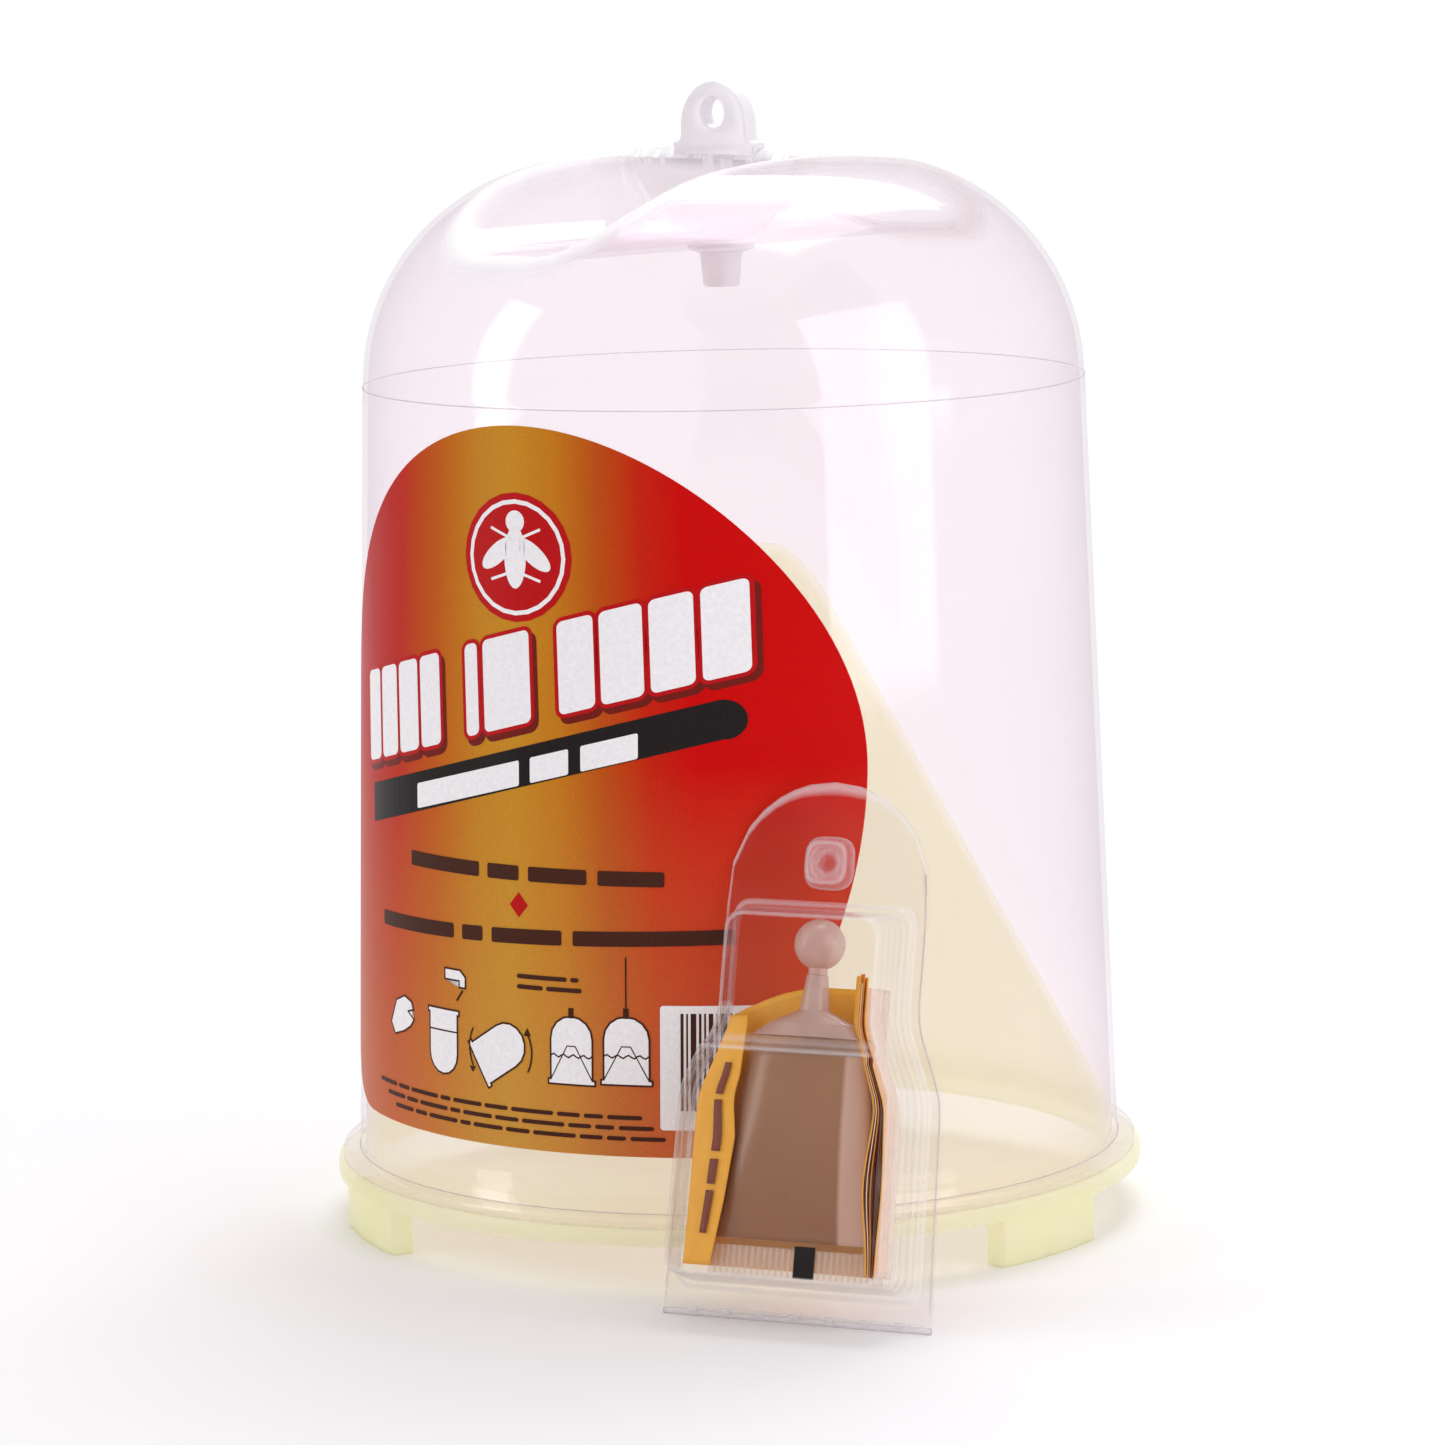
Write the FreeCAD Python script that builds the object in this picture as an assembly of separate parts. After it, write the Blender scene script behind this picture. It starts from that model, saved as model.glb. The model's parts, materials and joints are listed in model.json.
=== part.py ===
"""Disposable hanging insect trap with its attractant pack leaning on it.

Millimetres, +Z up. The origin is where the trap's axis meets the surface it stands on.
The trap is a clear bell closed by a funnel base on three feet. The pack is a clear folded
clamshell that holds a tube of attractant and a folded leaflet.
"""

import math
import os

import FreeCAD, Part

V = FreeCAD.Vector
ORIGIN = V(0, 0, 0)
UP = V(0, 0, 1)
overcut = 1.0

# ---- trap: heights ----
foot_height = 9.0
ring_thickness = 3.0
flange_thickness = 2.0
body_height = 144.0

# ---- trap: bell ----
body_foot_radius = 72.0
body_top_radius = 67.55
bell_wall = 1.0
flange_overhang = 3.2
seam_step = 0.15
dome_arc_radius = 41.0
dome_arc_angle = math.radians(80.4)

# ---- trap: top web, finger scoops, hanging lug and gate stem ----
lug_turn = -134.0
web_thickness = 4.8
scoop_half_width = 22.5
scoop_depth = 17.2
scoop_corner_radius = 16.0
scoop_root_radius = 2.5
lug_width = 17.0
lug_thickness = 3.2
lug_height = 12.1
lug_root_radius = 2.0
hang_hole_radius = 2.8
hang_hole_drop = 5.9
stem_length = 7.8
stem_top_radius = 3.9
stem_tip_radius = 3.4

# ---- trap: funnel base ----
ring_overhang = 4.2
base_wall = 1.2
spigot_clearance = 0.2
spigot_height = 6.2
cone_height = 107.8
cone_slope = math.radians(62.0)
entry_hole_radius = 9.0
nose_lip = 1.1
snap_bead_height = 4.0
snap_bead_radius = 0.35
snap_bead_clearance = 0.05
foot_count = 3
foot_turn = 50.0
foot_half_angle = 10.7
foot_inset = 1.2
foot_depth = 4.4
foot_wall = 1.3

# ---- trap: label ----
label_turn = -33.5
label_half_chord = 56.2
label_widest_height = 93.0
label_rise = 62.0
label_drop = 85.0
label_bottom_height = 24.5
label_corner_radius = 12.0
label_thickness = 0.12
label_gap = 0.02

# ---- pack: place ----
pack_yaw = math.radians(23.5)
pack_lean = math.radians(14.2)
pack_side_offset = 9.3
pack_seat_gap = 0.3

# ---- pack: tube, from its foot up ----
tube_side_offset = 1.6
tube_wall = 0.5
tube_half_depth = 4.7
sleeve_length = 42.2
shoulder_half_width = 11.6
shoulder_length = 4.7
crimp_length = 5.3
crimp_half_width = 16.4
crimp_thickness = 0.9
crimp_overlap = 0.5
crimp_mouth = 0.5
# how the sleeve swells above the crimp: share of its height, of its depth, of its narrowing
sleeve_swell = ((0.2, 0.5, 0.25), (0.52, 0.86, 0.58))
# share of the shoulder's width and depth that is left halfway up it
shoulder_round = (0.7, 0.85)
nozzle_foot_radius = 2.7
nozzle_length = 6.2
nozzle_tip_radius = 1.9
nozzle_bore_radius = 0.9
tip_ball_radius = 4.5
tip_neck_radius = 1.7
tip_neck_length = 1.2
twist_gap = 0.05
fill_clearance = 0.1
fill_headroom = 3.0

# ---- pack: leaflet ----
leaflet_thickness = 0.8
leaflet_gap = 0.3
leaflet_lift = 1.2
leaflet_length = 49.0
leaflet_curl_height = 6.0
leaflet_curl_radius = 3.0

# ---- pack: pocket ----
sheet_thickness = 0.5
pocket_foot_height = 4.3
pocket_seat_gap = 0.45
pocket_side_room = 2.6
pocket_waist_draw = 0.6
pocket_neck_half_width = 17.1
pocket_neck_rise = 3.5
pocket_shoulder_length = 12.9
pocket_step_drop = 2.0
pocket_face_gap = 0.3
pocket_tip_room = 1.2
pocket_lower_extra = 2.0
pocket_rim_depth = 1.9
pocket_rim_inset = 1.3
pocket_draft = 0.09
pocket_corner_radius = 3.0

# ---- pack: clamshell card ----
card_half_gap = 0.05
card_foot_margin = 2.4
card_waist_draw = 1.1
card_neck_margin = 1.9
card_arch_rise = 2.6
card_shoulder_radius = 5.0
fold_bead_radius = 0.6
fold_clearance = 0.15

# ---- pack: snap button ----
button_rise = 7.2
button_width = 8.4
button_depth = 2.6
button_corner_radius = 2.4
stud_across_flats = 3.9
stud_clearance = 0.3

# ---- worked out from the sizes above ----
ring_top = foot_height + ring_thickness
flange_top = ring_top + flange_thickness
seam_height = flange_top + body_height
dome_foot_radius = body_top_radius - seam_step
flange_radius = body_foot_radius + flange_overhang
ring_radius = body_foot_radius + ring_overhang
foot_outer_radius = ring_radius - foot_inset
bell_mouth_radius = body_foot_radius - bell_wall
cone_foot_height = ring_top + spigot_height
cone_top_height = cone_foot_height + cone_height
far = 4 * flange_radius

sheet_face = card_half_gap + sheet_thickness
tube_axis_depth = 2 * leaflet_gap + leaflet_thickness + tube_half_depth
pocket_upper_depth = tube_axis_depth + max(tip_ball_radius, tube_half_depth)
pocket_upper_depth += pocket_face_gap + sheet_thickness
pocket_lower_depth = pocket_upper_depth + pocket_lower_extra
pocket_wall_inset = pocket_rim_inset + sheet_thickness
pocket_slide = pocket_draft * tube_axis_depth
tube_foot = pocket_foot_height + pocket_wall_inset + pocket_slide + pocket_seat_gap
crimp_top = tube_foot + crimp_length
shoulder_foot = tube_foot + sleeve_length
nozzle_foot = shoulder_foot + shoulder_length
nozzle_top = nozzle_foot + nozzle_length
tip_foot = nozzle_top + twist_gap
tip_centre = tip_foot + tip_neck_length + math.sqrt(tip_ball_radius**2 - tip_neck_radius**2)
pocket_top = tip_centre + tip_ball_radius + pocket_tip_room + pocket_wall_inset
pocket_step = shoulder_foot - pocket_step_drop
pocket_foot_half_width = crimp_half_width + abs(tube_side_offset) + pocket_side_room
pocket_foot_half_width += pocket_wall_inset + pocket_slide
pocket_waist_half_width = pocket_foot_half_width - pocket_waist_draw
neck_height = shoulder_foot + pocket_neck_rise
waist_height = neck_height - pocket_shoulder_length
card_foot_half_width = pocket_foot_half_width + card_foot_margin
card_waist_half_width = card_foot_half_width - card_waist_draw
card_neck_half_width = pocket_neck_half_width + card_neck_margin
card_arch_height = pocket_top + card_arch_rise
button_height = pocket_top + button_rise


def line(a, b):
    return Part.makeLine(a, b)


def arc(a, middle, b):
    return Part.Arc(a, middle, b).toShape()


def polyline(*points):
    return [line(a, b) for a, b in zip(points, points[1:])]


def face(edges):
    return Part.Face(Part.Wire(Part.__sortEdges__(edges)))


def turned(edges):
    return face(edges).revolve(ORIGIN, UP, 360)


def way(angle):
    """Unit vector in the XZ plane, at an angle above +X."""
    return V(math.cos(angle), 0, math.sin(angle))


def save(name, shape):
    shape.exportStep("parts/" + name + ".step")


# ------------------------------------------------------------------ trap


def body_radius(height):
    """Outer radius of the tapered body wall at a height."""
    share = (height - flange_top) / body_height
    return body_foot_radius + (body_top_radius - body_foot_radius) * share


def dome_edges(offset):
    """The dome's profile, moved inwards by offset: a shoulder arc and a tangent crown."""
    centre = V(dome_foot_radius - dome_arc_radius, 0, seam_height)
    radius = dome_arc_radius - offset
    start = centre + way(0) * radius
    end = centre + way(dome_arc_angle) * radius
    crown_radius = dome_arc_radius + centre.x / math.cos(dome_arc_angle)
    crown_centre = V(0, 0, centre.z - centre.x * math.tan(dome_arc_angle))
    crown_radius -= offset
    top = crown_centre + UP * crown_radius
    crown_middle = crown_centre + way((dome_arc_angle + math.pi / 2) / 2) * crown_radius
    shoulder = arc(start, centre + way(dome_arc_angle / 2) * radius, end)
    return start, top, [shoulder, arc(end, crown_middle, top)]


def crown_height():
    return dome_edges(0)[1].z


def scoop_floor():
    return crown_height() - scoop_depth


def scoop_channel(offset):
    """U channel right through the dome top, its skin moved outwards by offset."""
    width = scoop_half_width + offset
    corner = scoop_corner_radius + offset
    floor = scoop_floor() - offset
    rim = floor + corner
    flat = width - corner
    slant = corner * math.sqrt(0.5)
    left = arc(V(-far, -width, rim), V(-far, -flat - slant, rim - slant), V(-far, -flat, floor))
    right = arc(V(-far, flat, floor), V(-far, flat + slant, rim - slant), V(-far, width, rim))
    bottom = line(V(-far, -flat, floor), V(-far, flat, floor))
    sides = polyline(
        V(-far, width, rim),
        V(-far, width, far),
        V(-far, -width, far),
        V(-far, -width, rim),
    )
    return face([left, bottom, right] + sides).extrude(V(2 * far, 0, 0))


def scoop_tools():
    """The two finger scoops: the channel on each side of the web, with rounded roots."""
    tools = []
    for side in (1, -1):
        wall_x = side * web_thickness / 2
        keep = Part.makeBox(far, 2 * far, 2 * far, V(min(wall_x, side * far), -far, 0))
        tool = scoop_channel(0).common(keep)
        roots = [
            edge
            for edge in tool.Edges
            if edge.BoundBox.XLength < 1e-6
            and abs(edge.BoundBox.XMin - wall_x) < 1e-6
            and edge.BoundBox.ZMax < far - overcut
            and edge.BoundBox.ZMin < crown_height()
        ]
        tools.append(tool.makeFillet(scoop_root_radius, roots) if roots else tool)
    return tools


def hang_hole_height():
    return crown_height() + lug_height - hang_hole_drop


def lug():
    """Hanging lug: a round-topped plate with a hole on the web, flared where it joins."""
    half = lug_width / 2
    deck = crown_height()
    foot_z = deck - lug_root_radius
    flare = half + lug_root_radius
    root = deck + lug_root_radius
    bend = lug_root_radius * (1 - math.sqrt(0.5))
    spring = deck + lug_height - half
    x = -lug_thickness / 2
    right_root = arc(V(x, flare, deck), V(x, half + bend, deck + bend), V(x, half, root))
    left_root = arc(V(x, -half, root), V(x, -half - bend, deck + bend), V(x, -flare, deck))
    top = arc(V(x, half, spring), V(x, 0, spring + half), V(x, -half, spring))
    base = polyline(
        V(x, -flare, deck), V(x, -flare, foot_z), V(x, flare, foot_z), V(x, flare, deck)
    )
    sides = [line(V(x, half, root), V(x, half, spring))]
    sides.append(line(V(x, -half, spring), V(x, -half, root)))
    plate = face(base + [right_root, left_root, top] + sides)
    plate = plate.extrude(V(lug_thickness, 0, 0))
    centre = V(-lug_thickness, 0, hang_hole_height())
    hole = Part.makeCylinder(hang_hole_radius, 2 * lug_thickness, centre, V(1, 0, 0))
    return plate.cut(hole)


def gate_stem():
    """Tapered stem below the web, where the moulding was filled."""
    root = scoop_floor() - bell_wall
    stem = Part.makeCone(
        stem_tip_radius, stem_top_radius, stem_length, V(0, 0, root - stem_length)
    )
    return stem.fuse(Part.makeCylinder(stem_top_radius, bell_wall / 2, V(0, 0, root)))


def bell():
    """Clear moulded vessel: flange, tapered body, dome, web with lug, and gate stem."""
    start, top, dome = dome_edges(0)
    profile = polyline(
        top,
        V(0, 0, ring_top),
        V(flange_radius, 0, ring_top),
        V(flange_radius, 0, flange_top),
        V(body_foot_radius, 0, flange_top),
        V(body_top_radius, 0, seam_height),
        start,
    )
    skin = turned(profile + dome)
    for tool in scoop_tools():
        skin = skin.cut(tool)
    start, top, dome = dome_edges(bell_wall)
    profile = polyline(
        top,
        V(0, 0, foot_height),
        V(bell_mouth_radius, 0, foot_height),
        V(bell_mouth_radius, 0, flange_top),
        V(body_top_radius - bell_wall, 0, seam_height),
        start,
    )
    hollow = turned(profile + dome).cut(scoop_channel(bell_wall))
    shape = skin.cut(hollow).cut(snap_bead(snap_bead_clearance))
    shape = shape.fuse([lug(), gate_stem()]).removeSplitter()
    shape.rotate(ORIGIN, UP, lug_turn)
    return shape


def spigot_radius():
    return bell_mouth_radius - spigot_clearance


def snap_bead(growth):
    """Ring bead on the spigot that holds the base in the bell; growth makes the groove."""
    bead = snap_bead_radius + spigot_clearance + growth
    centre = V(0, 0, ring_top + snap_bead_height)
    core = Part.makeCylinder(spigot_radius() - base_wall / 2, body_height, V(0, 0, ring_top))
    return Part.makeTorus(spigot_radius(), bead, centre, UP).cut(core)


def funnel_base():
    """Ring, spigot and entry cone in one moulding, on three hollow feet."""
    run = 1 / math.tan(cone_slope)
    lip = entry_hole_radius + nose_lip
    side = way(math.pi / 2 - cone_slope)
    line_radius = spigot_radius() - run * cone_height
    nose = (line_radius - lip) / (side.x - run * (1 - side.z))
    centre = V(lip, 0, cone_top_height - nose)
    between = way((math.pi - cone_slope) / 2)
    inner_nose = nose - base_wall
    bore = spigot_radius() - base_wall
    inner_foot = cone_foot_height - base_wall * (1 / side.x - 1) / run
    profile = polyline(
        V(bore, 0, inner_foot),
        V(bore, 0, foot_height),
        V(ring_radius, 0, foot_height),
        V(ring_radius, 0, ring_top),
        V(spigot_radius(), 0, ring_top),
        V(spigot_radius(), 0, cone_foot_height),
        centre + side * nose,
    )
    profile += polyline(
        V(lip, 0, cone_top_height),
        V(entry_hole_radius, 0, cone_top_height),
        V(entry_hole_radius, 0, cone_top_height - base_wall),
        V(lip, 0, cone_top_height - base_wall),
    )
    profile.append(line(centre + side * inner_nose, V(bore, 0, inner_foot)))
    for radius in (nose, inner_nose):
        profile.append(
            arc(centre + side * radius, centre + between * radius, centre + UP * radius)
        )
    feet = [foot(foot_turn + 360.0 * i / foot_count) for i in range(foot_count)]
    return turned(profile).fuse([snap_bead(0)] + feet).removeSplitter()


def sector(inner, outer, low, high, start, sweep):
    """Piece of a ring between two heights, from an angle counted from -Y."""
    block = Part.makeCylinder(outer, high - low, V(0, 0, low), UP, sweep)
    block = block.cut(Part.makeCylinder(inner, high - low, V(0, 0, low)))
    block.rotate(ORIGIN, UP, start - 90)
    return block


def foot(middle):
    """A hollow tab: a curved front, two ends and a middle rib, open inwards and below."""
    inner = foot_outer_radius - foot_depth
    first = middle - foot_half_angle
    shape = sector(inner, foot_outer_radius, 0, foot_height, first, 2 * foot_half_angle)
    wall_angle = math.degrees(foot_wall / foot_outer_radius)
    sweep = foot_half_angle - 1.5 * wall_angle
    back = foot_outer_radius - foot_wall
    for start in (first + wall_angle, middle + wall_angle / 2):
        shape = shape.cut(sector(inner - overcut, back, -overcut, foot_height, start, sweep))
    return shape


def label():
    """Printed film on the body's left front: arched top, flat foot, drawn in at the right."""
    low = label_bottom_height - overcut
    high = label_widest_height + label_rise + overcut
    skins = []
    for offset in (label_gap, label_gap + label_thickness):
        profile = polyline(
            V(0, 0, low),
            V(body_radius(low) + offset, 0, low),
            V(body_radius(high) + offset, 0, high),
            V(0, 0, high),
            V(0, 0, low),
        )
        skins.append(turned(profile))
    film = skins[1].cut(skins[0]).common(label_block())
    film.rotate(ORIGIN, UP, label_turn)
    return film


def label_block():
    """The label's outline, seen square on, as a block that runs out along -Y."""
    centre = V(0, 0, label_widest_height)
    right = V(label_half_chord, 0, label_widest_height)
    top = Part.Ellipse(centre + UP * label_rise, right, centre)
    low = Part.Ellipse(centre + UP * label_drop, right, centre)
    drop = label_widest_height - label_bottom_height
    foot_x = label_half_chord * math.sqrt(1 - (drop / label_drop) ** 2)
    foot_right = V(foot_x, 0, label_bottom_height)
    corner = label_corner_radius
    bend = corner * (1 - math.sqrt(0.5))
    left_x = -label_half_chord
    left = V(left_x, 0, label_widest_height)
    edges = [
        Part.Arc(top, -math.pi / 2, math.pi / 2).toShape(),
        line(left, V(left_x, 0, label_bottom_height + corner)),
        arc(
            V(left_x, 0, label_bottom_height + corner),
            V(left_x + bend, 0, label_bottom_height + bend),
            V(left_x + corner, 0, label_bottom_height),
        ),
        line(V(left_x + corner, 0, label_bottom_height), foot_right),
        Part.Arc(low, math.pi / 2, low.parameter(foot_right)).toShape(),
    ]
    return face(edges).extrude(V(0, -far, 0))


# ------------------------------------------------------------------ pack
# Pack sizes are in the card's own axes: X across, Y up the card from the fold, Z out of
# the front. place() leans the pack back against the bell.


def card_edge_points():
    """Points along the card's outline where it can meet the bell: side and arch."""
    points = []
    for i in range(19):
        turn = math.pi * i / 18
        across = card_neck_half_width * math.cos(turn)
        points.append(V(across, card_arch_height + card_neck_half_width * math.sin(turn), 0))
    points.append(V(-card_waist_half_width, waist_height, 0))
    points.append(V(card_waist_half_width, waist_height, 0))
    return points


def pack_rotation():
    across = V(math.cos(pack_yaw), -math.sin(pack_yaw), 0)
    front = V(-math.sin(pack_yaw), -math.cos(pack_yaw), 0)
    along = UP * math.cos(pack_lean) - front * math.sin(pack_lean)
    return FreeCAD.Rotation(across, along, across.cross(along), "ZXY")


def pack_placement():
    """Stand the fold on the ground at the distance where the card's edge meets the bell."""
    rotation = pack_rotation()
    lift = fold_bead_radius
    distance = flange_radius
    for point in card_edge_points():
        spot = rotation.multVec(point - V(0, 0, card_half_gap + sheet_thickness))
        reach = body_radius(lift + spot.z) + pack_seat_gap
        side = pack_side_offset + spot.x
        distance = max(distance, spot.y + math.sqrt(reach**2 - side**2))
    return FreeCAD.Placement(V(pack_side_offset, -distance, lift), rotation)


def place(shape):
    moved = shape.copy()
    moved.Placement = pack_placement().multiply(shape.Placement)
    return moved


def card(low):
    """Flat clamshell half: straight foot, waisted sides and an arched top."""
    foot_y = fold_bead_radius + fold_clearance
    arch = card_arch_height
    neck = card_neck_half_width
    outline = polyline(
        V(-neck, arch, low),
        V(-neck, neck_height, low),
        V(-card_waist_half_width, waist_height, low),
        V(-card_foot_half_width, foot_y, low),
        V(card_foot_half_width, foot_y, low),
        V(card_waist_half_width, waist_height, low),
        V(neck, neck_height, low),
        V(neck, arch, low),
    )
    outline.append(arc(V(neck, arch, low), V(0, arch + neck, low), V(-neck, arch, low)))
    plate = face(outline).extrude(V(0, 0, sheet_thickness))
    return plate.makeFillet(card_shoulder_radius, shoulder_edges(plate))


def shoulder_edges(plate):
    """The upright edges at the card's waist and neck corners."""
    heights = (waist_height, neck_height)
    return [
        edge
        for edge in plate.Edges
        if edge.BoundBox.ZLength > sheet_thickness / 2
        and edge.BoundBox.YLength < 1e-6
        and min(abs(edge.BoundBox.YMin - y) for y in heights) < 1e-6
    ]


def pocket_outline(inset, low, foot_y, top_y):
    """Pocket outline at a height above the card, following the card's sides."""
    foot_wide = pocket_foot_half_width - inset
    wide = pocket_waist_half_width - inset
    neck = pocket_neck_half_width - inset
    side = [V(foot_wide, foot_y, low), V(wide, waist_height, low)]
    if top_y > neck_height:
        side += [V(neck, neck_height, low), V(neck, top_y, low)]
    else:
        share = (top_y - waist_height) / (neck_height - waist_height)
        side.append(V(wide + (neck - wide) * share, top_y, low))
    ring = side + [V(-p.x, p.y, p.z) for p in reversed(side)]
    return Part.Wire(polyline(*ring, ring[0]))


def pocket_block(inset, depth, top_y):
    """Drafted block over an outline: wide at the card and smaller at its face."""
    slide = pocket_draft * depth
    foot_y = pocket_foot_height + inset
    wide = pocket_outline(inset, 0, foot_y, top_y - inset)
    small = pocket_outline(inset + slide, depth, foot_y + slide, top_y - inset - slide)
    block = Part.makeLoft([wide, small], True, True)
    corners = [edge for edge in block.Edges if edge.BoundBox.ZLength > depth / 2]
    return block.makeFillet(pocket_corner_radius, corners)


def pocket(wall):
    """The formed hollow, or its outside when wall is 0: rim step, upper and lower parts."""
    inset = pocket_rim_inset + wall
    rim = pocket_block(wall, sheet_face + pocket_rim_depth - wall, pocket_top)
    upper = pocket_block(inset, pocket_upper_depth - wall, pocket_top)
    lower = pocket_block(inset, pocket_lower_depth - wall, pocket_step)
    return rim.fuse([upper, lower])


def rounded_square(width, corner, low, depth):
    block = Part.makeBox(width, width, depth, V(-width / 2, button_height - width / 2, low))
    uprights = [edge for edge in block.Edges if edge.BoundBox.ZLength > depth / 2]
    return block.makeFillet(corner, uprights)


def hexagon(across_flats, low, depth):
    corner = across_flats / math.sqrt(3)
    ring = []
    for i in range(7):
        turn = math.pi * i / 3
        ring.append(
            V(corner * math.cos(turn), button_height + corner * math.sin(turn), low)
        )
    return face(polyline(*ring)).extrude(V(0, 0, depth))


def clamshell_front():
    """Front half: card with the formed pocket and the hollow snap button."""
    base = card_half_gap
    plate = card(base)
    keep = Part.makeBox(far, far, far, V(-far / 2, 0, base))
    skin = plate.fuse(pocket(0).common(keep))
    button = rounded_square(button_width, button_corner_radius, base, button_depth)
    skin = skin.fuse(button)
    inner_width = button_width - 2 * sheet_thickness
    inner_corner = button_corner_radius - sheet_thickness
    inner_depth = button_depth - sheet_thickness
    hollow = rounded_square(inner_width, inner_corner, base, inner_depth)
    return skin.cut(pocket(sheet_thickness)).cut(hollow).removeSplitter()


def clamshell_back():
    """Back half: flat card with the rolled fold at its foot and the snap stud."""
    base = -card_half_gap - sheet_thickness
    plate = card(base)
    length = 2 * card_foot_half_width
    start = V(-card_foot_half_width, 0, 0)
    bead = Part.makeCylinder(fold_bead_radius, length, start, V(1, 0, 0))
    web_box = Part.makeBox(
        length, 2 * fold_bead_radius, sheet_thickness, V(-card_foot_half_width, 0, base)
    )
    stud_depth = button_depth - sheet_thickness - stud_clearance
    stud = hexagon(stud_across_flats, base, sheet_thickness + card_half_gap + stud_depth)
    bore = Part.makeCylinder(
        stud_across_flats / 2 - sheet_thickness, stud_depth, V(0, button_height, base)
    )
    return plate.fuse([bead, web_box, stud]).cut(bore).removeSplitter()


def ellipse_wire(half_width, half_depth, height):
    centre = V(tube_side_offset, height, tube_axis_depth)
    if half_width > half_depth:
        curve = Part.Ellipse(
            centre + V(half_width, 0, 0), centre + V(0, 0, half_depth), centre
        )
    else:
        curve = Part.Circle(centre, V(0, -1, 0), half_width)
    return Part.Wire(curve.toShape())


def sleeve_sections():
    """Half width, half depth and height of the sleeve's cross-sections, crimp to shoulder."""
    body = shoulder_foot - crimp_top
    narrowing = crimp_half_width - shoulder_half_width
    sections = [(crimp_half_width, crimp_thickness / 2, crimp_top)]
    for up, deep, narrow in sleeve_swell:
        half_width = crimp_half_width - narrow * narrowing
        sections.append((half_width, deep * tube_half_depth, crimp_top + up * body))
    sections.append((shoulder_half_width, tube_half_depth, shoulder_foot))
    return sections


def sleeve_core(wall, top):
    """The sleeve's outside, moved inwards by wall and stopped at a height."""
    half_width, half_depth, height = sleeve_sections()[0]
    half_depth = max(half_depth - wall, crimp_mouth / 2)
    rings = [ellipse_wire(half_width - 2 * wall, half_depth, height + 2 * wall)]
    for half_width, half_depth, height in sleeve_sections()[1:]:
        rings.append(ellipse_wire(half_width - wall, half_depth - wall, height))
    block = Part.makeLoft(rings, True, False)
    return block.common(Part.makeBox(far, top, far, V(-far / 2, 0, -far / 2)))


def tube_sleeve():
    """Squeezable sleeve, round at the shoulder and sealed flat at the crimp."""
    outside = sleeve_core(0, shoulder_foot)
    crimp = Part.makeBox(
        2 * crimp_half_width,
        crimp_length + crimp_overlap,
        crimp_thickness,
        V(
            tube_side_offset - crimp_half_width,
            tube_foot,
            tube_axis_depth - crimp_thickness / 2,
        ),
    )
    return outside.fuse(crimp).cut(sleeve_core(tube_wall, shoulder_foot))


def attractant():
    """The liquid that fills the sleeve, a hair clear of its wall."""
    return sleeve_core(tube_wall + fill_clearance, shoulder_foot - fill_headroom)


def tube_head():
    """Moulded shoulder and nozzle, welded into the top of the sleeve."""
    middle = (shoulder_foot + nozzle_foot) / 2
    wide, deep = shoulder_round
    shoulder = Part.makeLoft(
        [
            ellipse_wire(shoulder_half_width, tube_half_depth, shoulder_foot),
            ellipse_wire(wide * shoulder_half_width, deep * tube_half_depth, middle),
            ellipse_wire(nozzle_foot_radius, nozzle_foot_radius, nozzle_foot),
        ],
        True,
        True,
    )
    start = V(tube_side_offset, nozzle_foot, tube_axis_depth)
    nozzle = Part.makeCone(
        nozzle_foot_radius, nozzle_tip_radius, nozzle_length, start, V(0, 1, 0)
    )
    bore = Part.makeCylinder(nozzle_bore_radius, far, V(start.x, 0, start.z), V(0, 1, 0))
    return shoulder.fuse(nozzle).cut(bore)


def twist_off_tip():
    """Ball grip that is twisted off to open the nozzle."""
    foot = V(tube_side_offset, tip_foot, tube_axis_depth)
    neck = Part.makeCylinder(tip_neck_radius, tip_centre - tip_foot, foot, V(0, 1, 0))
    centre = V(tube_side_offset, tip_centre, tube_axis_depth)
    return neck.fuse(Part.makeSphere(tip_ball_radius, centre))


def leaflet():
    """Folded paper behind the tube, its two sides curled forwards round it."""
    low = leaflet_gap - card_half_gap
    high = low + leaflet_curl_height
    half = leaflet_room(pocket_waist_half_width)
    sheet = leaflet_trough(half, leaflet_curl_radius, low, high)
    inner_radius = leaflet_curl_radius - leaflet_thickness
    space = leaflet_trough(
        half - leaflet_thickness, inner_radius, low + leaflet_thickness, high + overcut
    )
    return sheet.cut(space).common(leaflet_block())


def leaflet_room(half_width):
    """Half width left for the leaflet inside the pocket's wall."""
    return half_width - pocket_wall_inset - pocket_draft * leaflet_curl_height - leaflet_gap


def leaflet_trough(half, corner, low, high):
    """Block with two rounded lower edges, the shape that the paper wraps round."""
    start = V(-half, tube_foot + leaflet_lift, low)
    block = Part.makeBox(2 * half, leaflet_length, 2 * (high - low), start)
    roots = [
        edge
        for edge in block.Edges
        if edge.BoundBox.YLength > 1 and edge.BoundBox.ZMax < low + 1e-6
    ]
    block = block.makeFillet(corner, roots)
    return block.common(Part.makeBox(far, far, high, V(-far / 2, 0, 0)))


def leaflet_block():
    """Outline that draws the leaflet in to clear the pocket's neck."""
    wide = leaflet_room(pocket_waist_half_width)
    neck = leaflet_room(pocket_neck_half_width)
    bend = waist_height - leaflet_gap
    side = [V(wide, 0, 0), V(wide, bend, 0), V(neck, neck_height - leaflet_gap, 0)]
    side.append(V(neck, far, 0))
    ring = side + [V(-p.x, p.y, p.z) for p in reversed(side)]
    return face(polyline(*ring, ring[0])).extrude(V(0, 0, far))


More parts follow.
